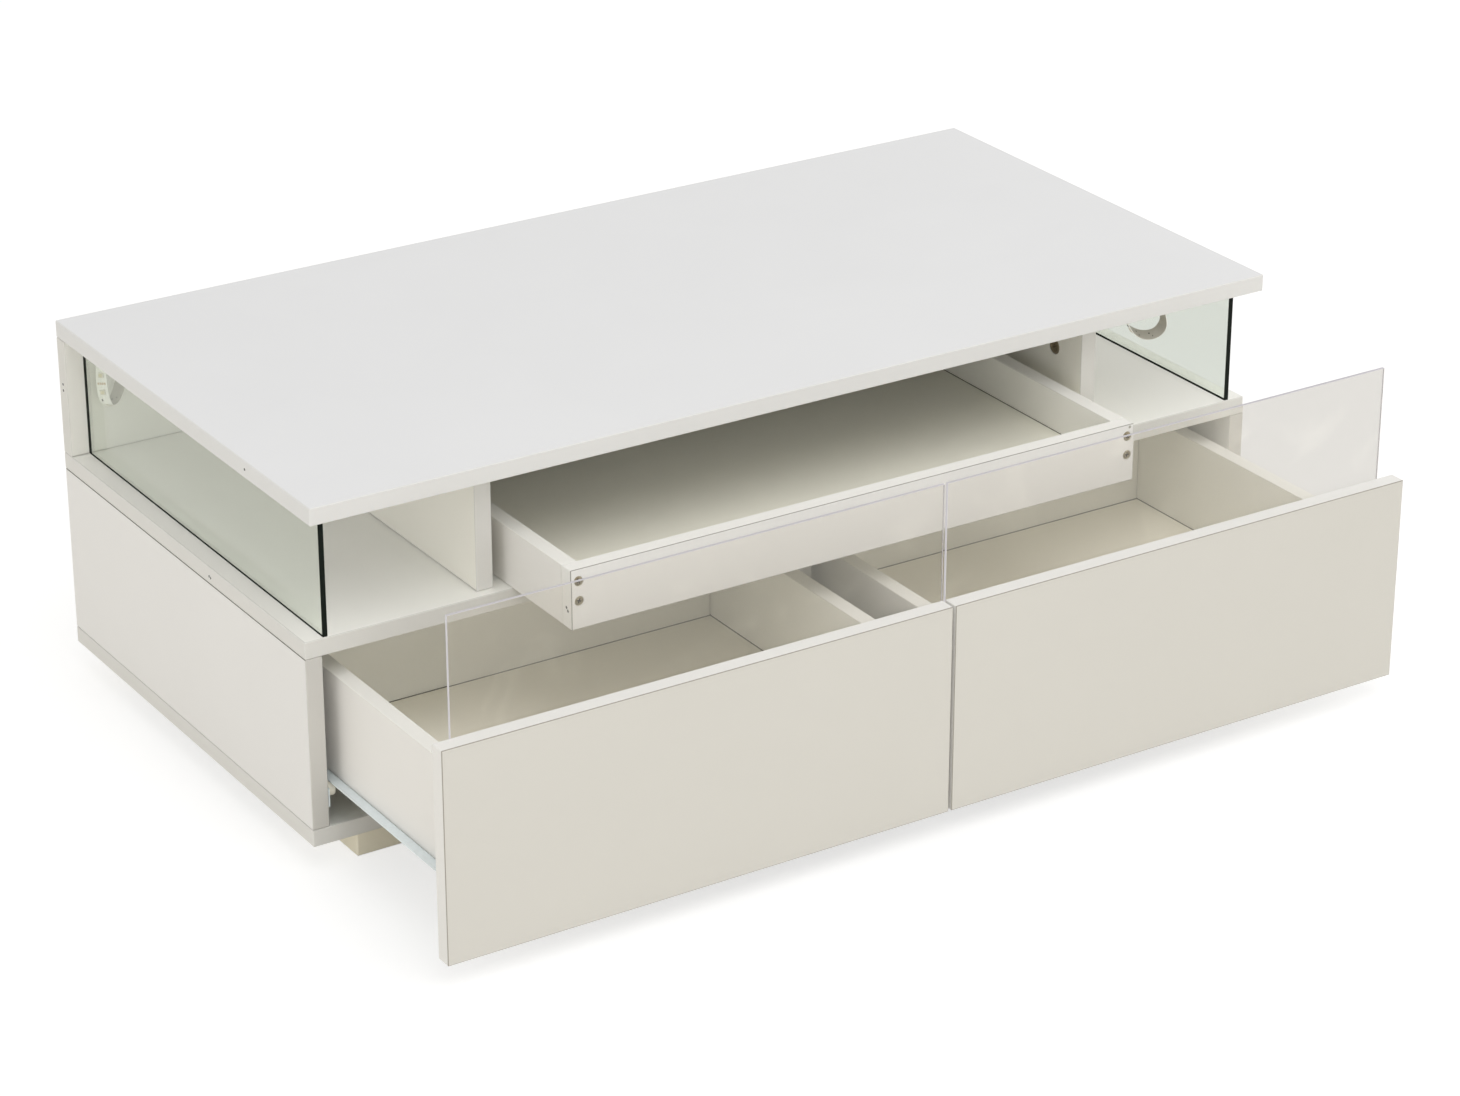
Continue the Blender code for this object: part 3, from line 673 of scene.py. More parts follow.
@dataclass(frozen=True)
class MouldedFinish:
    """Moulded plastic, a printed strip or the dark edges of the glass, with a fine grain and soft
    marks.
    """

    name: str
    base: Colour
    mark: Colour
    roughness: float
    grain_scale: float = 1200.0
    grain_depth: float = 0.02 * MM
    cloud_scale: float = 90.0
    cloud_roughness: float = 0.2
    mark_scale: float = 60.0
    mark_amount: float = 0.45
    mark_share: float = 0.4
    bump: float = 0.5

    def dress(self, graph: Graph, shader: bpy.types.Node) -> None:
        """Feeds the finish to a shader.

        Args:
            graph: The material's graph.
            shader: The shader.
        """
        press = EFFECTS.place(
            graph,
            EFFECTS.press_texture(),
            Pebble_Scale=self.grain_scale,
            Cloud_Scale=self.cloud_scale,
        )
        marks = EFFECTS.place(
            graph, EFFECTS.handling_marks(), Smear_Scale=self.mark_scale, Amount=self.mark_amount
        )
        share = graph.maths("MULTIPLY", marks.outputs["Smear"], self.mark_share)
        graph.feed(shader.inputs["Base Color"], graph.mix(share, self.base, self.mark))
        cloud = press.outputs["Cloud"]
        rough = graph.maths("MULTIPLY_ADD", cloud, self.cloud_roughness, self.roughness)
        graph.feed(shader.inputs["Roughness"], rough)
        bumped(graph, shader, press.outputs["Height"], self.bump, self.grain_depth)

    def material(self, label: str) -> bpy.types.Material:
        """Builds the finish.

        Args:
            label: What the finish is on.

        Returns:
            The material.
        """
        material, graph, shader = principled(f"{self.name}_{label}")
        self.dress(graph, shader)
        return material


@dataclass(frozen=True)
class PaneFinish:
    """A clear pane with painted light and shade on its edges and a painted reflection on its faces.
    The light of the lamps passes it.
    """

    name: str
    clear: Colour
    edge: Colour
    ior: float
    edge_roughness: float
    smears: float
    smear_scale: float
    # The strength of the painted reflection on the faces.
    painted_reflection: float
    shade: float
    band: float
    # The colour of the painted light on the edges.
    glow: Colour
    reflection_colour: Colour = (1.0, 0.97, 0.82)
    smeared_reflection_share: float = 0.45
    band_line: float = 0.3 * MM
    dust_size: float = 0.05
    hairline_roughness: float = 0.03
    wave_scale: float = 3.0
    wave_depth: float = 0.05 * MM
    wave_bump: float = 0.12
    top_painted_shade: float = 0.15
    inner_painted_shade: float = 0.7
    # The edges are painted near black: painted shade for how the edges look through the glass.
    dark_edge: MouldedFinish = MouldedFinish(
        "painted_dark_edge",
        base=BLACK,
        mark=display(52, 60, 54),
        roughness=0.6,
        grain_scale=1500.0,
        grain_depth=0.01 * MM,
    )
    dark_edge_specular: float = 0.08

    def material(self, label: str, extent: Extent) -> bpy.types.Material:
        """Builds the finish for one pane.

        Args:
            label: The pane's name.
            extent: The pane's box and thin axis.

        Returns:
            The material.
        """
        material, graph, shader = principled(f"{self.name}_{label}")
        zones = EFFECTS.place(
            graph,
            EFFECTS.board_zones(),
            Low_Corner=extent.low,
            High_Corner=extent.high,
            Thin_Axis=extent.thin.value,
            Band_Thickness=self.band,
            Line_Width=self.band_line,
        )
        marks = EFFECTS.place(
            graph,
            EFFECTS.handling_marks(),
            Amount=self.smears,
            Smear_Scale=self.smear_scale,
            Dust_Size=self.dust_size,
        )
        press = EFFECTS.place(graph, EFFECTS.press_texture(), Cloud_Scale=self.wave_scale)
        band = zones.outputs["Band"]
        graph.feed(shader.inputs["Base Color"], graph.mix(band, self.clear, self.edge))
        rough = graph.maths("MULTIPLY", band, self.edge_roughness)
        hair = marks.outputs["Hairline"]
        rough = graph.maths("MULTIPLY_ADD", hair, self.hairline_roughness, rough)
        graph.feed(shader.inputs["Roughness"], rough)
        shader.inputs["IOR"].default_value = self.ior
        shader.inputs["Transmission Weight"].default_value = 1.0
        shader.inputs["Emission Strength"].default_value = 1.0
        # The emission is painted light: a painted reflection on the faces and painted light on the
        # edges.
        glow = graph.mix(band, self._painted_reflection_light(graph, marks.outputs["Smear"]), self._painted_edge_light(graph))
        graph.feed(shader.inputs["Emission Color"], glow)
        self._pass_light(graph, shader)
        bumped(graph, shader, press.outputs["Cloud"], self.wave_bump, self.wave_depth)
        return material

    def _painted_reflection_light(self, graph: Graph, smear: bpy.types.NodeSocket) -> bpy.types.NodeSocket:
        """A faint glow on the faces: painted reflection, stronger where the smears lie.

        Args:
            graph: The material's graph.
            smear: The mask of the smears.

        Returns:
            The painted reflection's light.
        """
        varied, even = self.painted_reflection * self.smeared_reflection_share, self.painted_reflection * (1 - self.smeared_reflection_share)
        reflection_light = graph.maths("MULTIPLY_ADD", smear, varied, even)
        return graph.mix(reflection_light, BLACK, self.reflection_colour)

    def _painted_edge_light(self, graph: Graph) -> bpy.types.NodeSocket:
        """Painted light on the edges, dimmed as painted shade on the top edges and on the inner
        faces.

        Args:
            graph: The material's graph.

        Returns:
            The painted light of the edges.
        """
        surface = graph.node("ShaderNodeNewGeometry")
        way = graph.node("ShaderNodeSeparateXYZ")
        graph.feed(way.inputs[0], surface.outputs["Normal"])
        upward = graph.maths("ABSOLUTE", way.outputs["Z"])
        level = graph.maths("MULTIPLY_ADD", upward, -self.top_painted_shade, 1.0)
        inner = surface.outputs["Backfacing"]
        shown = graph.maths("MULTIPLY_ADD", inner, -self.inner_painted_shade, level, clamp=True)
        return graph.mix(shown, BLACK, self.glow)

    def painted_dark_edge(self, label: str) -> bpy.types.Material:
        """Builds the finish of a pane's edges, painted near black as painted shade, with a little
        dust.

        Args:
            label: The pane's name.

        Returns:
            The material.
        """
        material, graph, shader = principled(f"{self.name}_edge_{label}")
        replace(self.dark_edge, base=self.edge).dress(graph, shader)
        shader.inputs["Specular IOR Level"].default_value = self.dark_edge_specular
        self._pass_light(graph, shader)
        return material

    def _pass_light(self, graph: Graph, shader: bpy.types.Node) -> None:
        """Lets the light of the lamps pass, which a clear solid would hold back.

        Args:
            graph: The material's graph.
            shader: The shader.
        """
        path = graph.node("ShaderNodeLightPath")
        shadow, diffuse = path.outputs["Is Shadow Ray"], path.outputs["Is Diffuse Ray"]
        unseen = graph.maths("MAXIMUM", shadow, diffuse)
        graph.feed(shader.inputs["Alpha"], graph.maths("MULTIPLY_ADD", unseen, self.shade - 1, 1.0))


@dataclass(frozen=True)
class MetalFinish:
    """Bare, plated or powder-coated metal."""

    name: str
    base: Colour
    stain: Colour
    edge: Colour
    metallic: float
    roughness: float
    grain_scale: float = 1800.0
    grain_depth: float = 0.01 * MM
    grain_roughness: float = 0.16
    cloud_scale: float = 40.0
    cloud_roughness: float = 0.12
    stain_share: float = 0.35
    edge_share: float = 0.4
    bump: float = 0.5

    def material(self, label: str) -> bpy.types.Material:
        """Builds the finish.

        Args:
            label: What the finish is on.

        Returns:
            The material.
        """
        material, graph, shader = principled(f"{self.name}_{label}")
        metal = EFFECTS.place(graph, EFFECTS.worn_metal(), Grain_Scale=self.grain_scale)
        press = EFFECTS.place(graph, EFFECTS.press_texture(), Cloud_Scale=self.cloud_scale)
        stained = graph.maths("MULTIPLY", metal.outputs["Stain"], self.stain_share)
        colour = graph.mix(stained, self.base, self.stain)
        # Convex edges are brightened: partly wear, partly a painted highlight.
        rubbed_and_lit_edge = graph.maths("MULTIPLY", metal.outputs["Edge"], self.edge_share)
        graph.feed(shader.inputs["Base Color"], graph.mix(rubbed_and_lit_edge, colour, self.edge))
        shader.inputs["Metallic"].default_value = self.metallic
        least = self.roughness - self.grain_roughness / 2
        rough = graph.maths("MULTIPLY_ADD", metal.outputs["Grain"], self.grain_roughness, least)
        rough = graph.maths("MULTIPLY_ADD", press.outputs["Cloud"], self.cloud_roughness, rough)
        graph.feed(shader.inputs["Roughness"], graph.maths("ADD", rough, 0.0, clamp=True))
        bumped(graph, shader, metal.outputs["Grain"], self.bump, self.grain_depth)
        return material


@dataclass(frozen=True)
class Finishes:
    """Every finish of the table."""

    carcass: BoardFinish = BoardFinish(
        "white_melamine",
        face=display(248, 248, 243),
        band=display(222, 221, 217),
        line=display(170, 168, 162),
        line_strength=0.35,
    )
    # The top is a darker copy of the board white: painted shade that offsets the stronger light
    # falling on it from above.
    top: BoardFinish = BoardFinish(
        "white_melamine_top_painted_shade",
        face=display(225, 226, 228),
        band=display(225, 225, 224),
        line=display(190, 189, 184),
        line_strength=0.3,
        face_roughness=0.4,
        smears=0.4,
    )
    # The side panels' faces and front edges are darker than the carcass white: painted shade. The
    # dark lines along their joints with the shelf and bottom are partly the joints, partly painted
    # shade.
    side: BoardFinish = BoardFinish(
        "white_melamine_painted_shade_seams",
        face=display(233, 232, 230),
        band=display(206, 204, 199),
        line=display(70, 66, 56),
        line_strength=1.0,
        band_thickness=0.0,
        line_width=0.75 * MM,
    )
    front: BoardFinish = BoardFinish(
        "warm_gloss",
        face=display(210, 208, 202),
        band=display(232, 231, 228),
        line=display(118, 110, 96),
        line_strength=0.85,
        band_thickness=0.35 * MM,
        line_width=0.7 * MM,
        face_roughness=0.24,
        pebble_scale=420.0,
        pebble_depth=0.008 * MM,
        cloudiness=0.03,
        coat=0.25,
    )
    box: BoardFinish = BoardFinish(
        "off_white_paper_foil",
        face=display(250, 249, 242),
        band=display(238, 237, 232),
        line=display(190, 184, 170),
        line_strength=0.25,
        face_roughness=0.5,
        band_roughness=0.5,
        pebble_scale=700.0,
        pebble_depth=0.03 * MM,
        cloudiness=0.06,
        smears=0.35,
    )
    # A darker copy of the box foil, on the left sides of the drawer boxes and the tray.
    box_left: BoardFinish = replace(box, name="darker_left_paper_foil", face=display(238, 236, 232))
    tray_front: BoardFinish = replace(
        box,
        name="tray_front_foil",
        face=display(237, 236, 234),
        band=display(238, 237, 233),
        line=display(84, 78, 66),
        line_strength=0.8,
        band_thickness=0.3 * MM,
        line_width=0.6 * MM,
    )
    # The feet are a brighter, warmer copy of the box foil: painted light standing in for the bounce
    # from the floor under the table.
    foot: BoardFinish = replace(
        box,
        name="foot_foil_painted_light",
        face=display(249, 243, 224),
        band=display(248, 242, 223),
        line=display(176, 168, 148),
        line_strength=0.3,
    )
    # The dark line round the drawer bottoms' faces is partly the joint with the box, partly painted
    # shade in the crease.
    panel: BoardFinish = BoardFinish(
        "drawer_bottom_foil",
        face=display(252, 248, 235),
        band=display(80, 66, 44),
        line=display(52, 42, 26),
        line_strength=0.95,
        band_thickness=0.0,
        line_width=2.0 * MM,
        face_roughness=0.42,
        pebble_scale=500.0,
        cloudiness=0.08,
        smears=0.55,
    )
    # The upper back panel is a slightly darker copy of the carcass white: painted shade.
    back: BoardFinish = BoardFinish(
        "back_melamine_painted_shade",
        face=display(243, 243, 237),
        band=display(220, 219, 214),
        line=display(198, 197, 190),
        line_strength=0.1,
    )
    # The dividers are a warmer, slightly darker copy of the carcass white: painted warm shade, like
    # the light that the boards throw into the compartments.
    divider: BoardFinish = replace(carcass, name="melamine_painted_warm_shade", face=display(245, 243, 234))
    # The tray's bottom takes the same line: partly the joint, partly painted shade in the crease.
    tray_floor: BoardFinish = replace(
        panel,
        name="tray_bottom_foil",
        face=display(244, 242, 229),
        line_strength=0.9,
        line_width=1.6 * MM,
    )
    glass: PaneFinish = PaneFinish(
        "side_glass",
        clear=display(234, 240, 233),
        # edge is painted near black: painted shade of the pane's edges.
        edge=display(24, 30, 26),
        ior=1.5,
        edge_roughness=0.35,
        smears=0.25,
        smear_scale=6.0,
        # film is a painted reflection on the glass faces.
        painted_reflection=0.03,
        shade=0.03,
        band=0.0,
        glow=BLACK,
    )
    acrylic: PaneFinish = PaneFinish(
        "clear_acrylic",
        clear=display(237, 235, 232),
        edge=display(104, 100, 106),
        ior=1.4,
        edge_roughness=0.5,
        smears=0.55,
        smear_scale=11.0,
        # film is a painted reflection on the acrylic faces.
        painted_reflection=0.06,
        shade=0.04,
        band=0.35 * MM,
        # glow is painted light on the acrylic's edges.
        glow=(0.46, 0.445, 0.47),
    )
    slide: MetalFinish = MetalFinish(
        "blue_white_powder",
        base=display(226, 237, 241),
        stain=display(212, 221, 224),
        edge=display(236, 239, 240),
        metallic=0.0,
        roughness=0.36,
        grain_scale=2600.0,
        grain_depth=0.02 * MM,
    )
    nylon: MouldedFinish = MouldedFinish(
        "cream_nylon",
        base=display(232, 228, 214),
        mark=display(206, 200, 182),
        roughness=0.42,
    )
    screw: MetalFinish = MetalFinish(
        "aged_nickel",
        base=display(192, 182, 160),
        stain=display(112, 96, 70),
        # The bright edge colour is a painted highlight on the heads' rims.
        edge=display(244, 240, 226),
        metallic=1.0,
        roughness=0.3,
        stain_share=0.5,
        edge_share=0.9,
    )
    # The dark inside of the screws' crosses is painted shade in the recesses.
    recess: MetalFinish = MetalFinish(
        "screw_recess_painted_shade",
        base=display(46, 39, 30),
        stain=display(26, 22, 17),
        edge=display(104, 94, 76),
        metallic=0.5,
        roughness=0.6,
    )
    zinc: MetalFinish = MetalFinish(
        "cast_zinc",
        base=display(142, 130, 106),
        stain=display(96, 86, 66),
        edge=display(190, 180, 158),
        metallic=0.6,
        roughness=0.48,
        grain_scale=900.0,
        grain_depth=0.05 * MM,
    )
    steel: MetalFinish = MetalFinish(
        "zinc_plated_steel",
        base=display(176, 178, 178),
        stain=display(138, 138, 134),
        edge=display(222, 223, 222),
        metallic=1.0,
        roughness=0.3,
    )
    strip: MouldedFinish = MouldedFinish(
        "strip_lacquer",
        base=display(250, 250, 245),
        mark=display(236, 235, 226),
        roughness=0.38,
        grain_scale=2400.0,
    )
    # The ribbon's back is partly its own grey, partly painted shade on the side turned from the
    # light.
    backing: MouldedFinish = MouldedFinish(
        "strip_backing_painted_shade",
        base=display(176, 173, 161),
        mark=display(152, 149, 137),
        roughness=0.5,
        grain_scale=1600.0,
    )
    lamp: MouldedFinish = MouldedFinish(
        "lamp_body",
        base=display(226, 222, 208),
        mark=display(206, 200, 180),
        roughness=0.3,
        grain_scale=3000.0,
    )
    phosphor: MouldedFinish = MouldedFinish(
        "lamp_window",
        base=display(224, 216, 178),
        mark=display(206, 194, 148),
        roughness=0.25,
        grain_scale=2600.0,
    )
    resistor: MouldedFinish = MouldedFinish(
        "chip_resistor",
        base=display(44, 43, 42),
        mark=display(70, 68, 64),
        roughness=0.45,
        grain_scale=3000.0,
    )
    copper: MetalFinish = MetalFinish(
        "tinned_pad",
        base=display(200, 172, 128),
        stain=display(168, 128, 84),
        edge=display(232, 214, 176),
        metallic=0.9,
        roughness=0.35,
    )
    moulding: MouldedFinish = MouldedFinish(
        "white_moulding",
        base=display(233, 233, 231),
        mark=display(222, 221, 216),
        roughness=0.4,
    )


class Shop:
    """Makes meshes and hands finished pieces to the frame."""

    @staticmethod
    def place(name: str, bm: bmesh.types.BMesh) -> bpy.types.Object:
        """Ends a bmesh and puts it in the scene as an object at the origin.

        Args:
            name: The object's name.
            bm: The shape, in metres in the table's frame.

        Returns:
            The object.
        """
        bmesh.ops.recalc_face_normals(bm, faces=bm.faces)
        mesh = bpy.data.meshes.new(name)
        bm.to_mesh(mesh)
        bm.free()
        made = bpy.data.objects.new(name, mesh)
        bpy.context.scene.collection.objects.link(made)
        return made

    @staticmethod
    def settle(piece: bpy.types.Object) -> None:
        """Applies every modifier of a piece to its mesh.

        Args:
            piece: The piece.
        """
        bpy.context.view_layer.update()
        graph = bpy.context.evaluated_depsgraph_get()
        solved = bpy.data.meshes.new_from_object(piece.evaluated_get(graph))
        old = piece.data
        piece.modifiers.clear()
        piece.data = solved
        bpy.data.meshes.remove(old)

    @staticmethod
    def cut(piece: bpy.types.Object, cutter: bpy.types.Object) -> None:
        """Cuts a cutter from a piece and throws the cutter away.

        Args:
            piece: The piece.
            cutter: The shape to take away.
        """
        step = piece.modifiers.new("cut", "BOOLEAN")
        step.object = cutter
        step.operation = "DIFFERENCE"
        step.solver = "EXACT"
        Shop.settle(piece)
        bpy.data.objects.remove(cutter, do_unlink=True)

    @staticmethod
    def smooth(piece: bpy.types.Object, angle: float = 35.0) -> None:
        """Shades a piece smooth but for edges sharper than the angle.

        Args:
            piece: The piece.
            angle: The angle in degrees.
        """
        piece.data.shade_smooth()
        piece.data.set_sharp_from_angle(angle=math.radians(angle))

    @staticmethod
    def turn(bm: bmesh.types.BMesh, profile: Profile, matrix: Matrix, steps: int = 40) -> None:
        """Adds a turned body to a bmesh.

        Args:
            bm: The bmesh.
            profile: Radius and height pairs from one end of the body to the other.
            matrix: Stands the body, turned about +Z, in its place.
            steps: The number of sides.
        """
        rings: list[list[bmesh.types.BMVert]] = []
        for radius, height in profile:
            count = 1 if radius == 0 else steps
            ring = []
            for index in range(count):
                angle = 2 * math.pi * index / steps
                spot = Vector((radius * math.cos(angle), radius * math.sin(angle), height))
                ring.append(bm.verts.new(matrix @ spot))
            rings.append(ring)
        if profile[0][0] > 0 and profile[-1][0] > 0 and profile[0] != profile[-1]:
            rings.append(rings[0])
        for one, other in zip(rings, rings[1:]):
            for index in range(steps):
                after = (index + 1) % steps
                corners = [
                    one[index % len(one)],
                    one[after % len(one)],
                    other[after % len(other)],
                    other[index % len(other)],
                ]
                unique = list(dict.fromkeys(corners))
                if len(unique) > 2:
                    bm.faces.new(unique)

    @staticmethod
    def wall(
        bm: bmesh.types.BMesh,
        one: Sequence[bmesh.types.BMVert],
        other: Sequence[bmesh.types.BMVert],
    ) -> None:
        """Closes the way round between the two end faces of a cutter.

        Args:
            bm: The bmesh.
            one: The corners of one end.
            other: The corners of the other end.
        """
        for index in range(len(one)):
            after = (index + 1) % len(one)
            bm.faces.new((one[index], other[index], other[after], one[after]))

    @staticmethod
    def bridge(
        bm: bmesh.types.BMesh, rings: Sequence[Sequence[bmesh.types.BMVert]]
    ) -> list[bmesh.types.BMFace]:
        """Joins each closed ring of points to the next with a band of faces.

        Args:
            bm: The bmesh.
            rings: The rings, all with as many points.

        Returns:
            The faces, ring by ring.
        """
        made = []
        for one, other in zip(rings, rings[1:]):
            for index in range(len(one)):
                after = (index + 1) % len(one)
                made.append(bm.faces.new((one[index], one[after], other[after], other[index])))
        return made

    @staticmethod
    def block(
        bm: bmesh.types.BMesh, size: Point, matrix: Matrix, edge: float
    ) -> list[bmesh.types.BMFace]:
        """Adds a block with rounded edges to a bmesh.

        Args:
            bm: The bmesh.
            size: Its three sides.
            matrix: Stands the block in its place.
            edge: The radius of its edges.

        Returns:
            The faces of the block.
        """
        known = set(bm.faces)
        made = bmesh.ops.create_cube(bm, size=1)
        bmesh.ops.transform(bm, matrix=matrix @ Matrix.Diagonal((*size, 1)), verts=made["verts"])
        edges = {line for vert in made["verts"] for line in vert.link_edges}
        bmesh.ops.bevel(
            bm,
            geom=list(edges),
            offset=edge,
            segments=2,
            profile=0.5,
            affect="EDGES",
            clamp_overlap=True,
        )
        return [face for face in bm.faces if face not in known]

    @staticmethod
    def finish(
        piece: bpy.types.Object, body: str, slot: str, *materials: bpy.types.Material
    ) -> None:
        """Dresses a new piece, joins it to its body and logs it.

        Args:
            piece: The piece.
            body: The CAD body that it rides on.
            slot: Not used.
            materials: Its materials in order.
        """
        if not piece.data.polygons:
            raise ValueError(f"{piece.name} has no faces")
        for material in materials:
            piece.data.materials.append(material)
        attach(piece, body)
        LOG.info("made %s with %d faces, riding on %s", piece.name, len(piece.data.polygons), body)

    @staticmethod
    def dress(node: str, material: bpy.types.Material) -> None:
        """Gives a CAD node its material.

        Args:
            node: The node's name.
            material: The material.
        """
        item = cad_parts[node]
        if not item.material_slots:
            item.data.materials.append(material)
        for slot in item.material_slots:
            slot.material = material
        LOG.info("dressed %s in %s", node, material.name)


def facing(place: Sequence[float], axis: Sequence[float]) -> Matrix:
    """A matrix that stands a body, turned about +Z, at a place with its +Z along the axis.

    Args:
        place: Where the body's origin goes.
        axis: Where its +Z points.

    Returns:
        The matrix.
    """
    turn = Vector((0, 0, 1)).rotation_difference(Vector(axis)).to_matrix().to_4x4()
    return Matrix.Translation(Vector(place)) @ turn


@dataclass(frozen=True)
class CrossScrew:
    """A screw head with a cross recess that tapers to its bottom."""

    head_radius: float = 4.4 * MM
    dish: float = 0.35 * MM
    rim: float = 0.35 * MM
    cone: float = 2.2 * MM
    shank_radius: float = 2.1 * MM
    length: float = 18 * MM
    recess_width: float = 1.15 * MM
    recess_reach: float = 2.5 * MM
    recess_depth: float = 1.6 * MM
    recess_taper: float = 0.55
    cutter_height: float = 0.6 * MM
    proud: float = 0.0
    crown: tuple[Span, ...] = ((0, 0), (0.55, 0.12), (0.85, 0.55))
    neck: float = 1.15
    neck_reach: float = 1.3
    tip: float = 0.2
    steps: int = 40

    def _recess(self, name: str, matrix: Matrix, turned: float) -> bpy.types.Object:
        """The cutter for the cross: two crossed wedges that narrow to the bottom.

        Args:
            name: The cutter's name.
            matrix: Where the head's face lies.
            turned: How far the cross is turned, in radians.

        Returns:
            The cutter.
        """
        bm = bmesh.new()
        spun = matrix @ Matrix.Rotation(turned, 4, "Z")
        half = self.recess_width / 2
        top = self.proud + self.dish + self.cutter_height
        outline: list[Vector] = []
        for quarter in range(4):
            turn = Matrix.Rotation(quarter * math.pi / 2, 2)
            for x, y in ((self.recess_reach, -half), (self.recess_reach, half), (half, half)):
                outline.append(turn @ Vector((x, y)))
        taper, bottom = self.recess_taper, -self.recess_depth
        upper = [bm.verts.new(spun @ Vector((p.x, p.y, top))) for p in outline]
        lower = [bm.verts.new(spun @ Vector((p.x * taper, p.y * taper, bottom))) for p in outline]
        bm.faces.new(upper)
        bm.faces.new(list(reversed(lower)))
        Shop.wall(bm, upper, lower)
        return Shop.place(f"{name}_recess", bm)

    def build(self, name: str, matrix: Matrix, turned: float) -> bpy.types.Object:
        """Builds one screw.

        Args:
            name: The screw's name.
            matrix: Where the head's rim lies, with +Z out of the work.
            turned: How far its cross is turned, in radians.

        Returns:
            The screw.
        """
        top = self.proud + self.dish
        crown = [(self.head_radius * wide, top - self.dish * deep) for wide, deep in self.crown]
        profile: Profile = [
            *crown,
            (self.head_radius - self.rim * 0.5, self.proud),
            (self.head_radius, self.proud - self.rim),
            (self.shank_radius * self.neck, self.proud - self.rim - self.cone),
            (self.shank_radius, self.proud - self.rim - self.cone * self.neck_reach),
            (self.shank_radius, self.shank_radius - self.length),
            (self.shank_radius * self.tip, -self.length),
            (0, -self.length),
        ]
        bm = bmesh.new()
        Shop.turn(bm, profile, matrix, self.steps)
        made = Shop.place(name, bm)
        Shop.cut(made, self._recess(name, matrix, turned))
        Shop.smooth(made)
        # Faces inside the cross take the second, dark finish: painted shade in the recess.
        back = matrix.inverted()
        lowest, highest = -self.recess_depth * 1.1, top - self.dish * 0.5
        for face in made.data.polygons:
            spot = back @ face.center
            inside = math.hypot(spot.x, spot.y) < self.recess_reach
            face.material_index = int(inside and lowest < spot.z < highest)
        return made


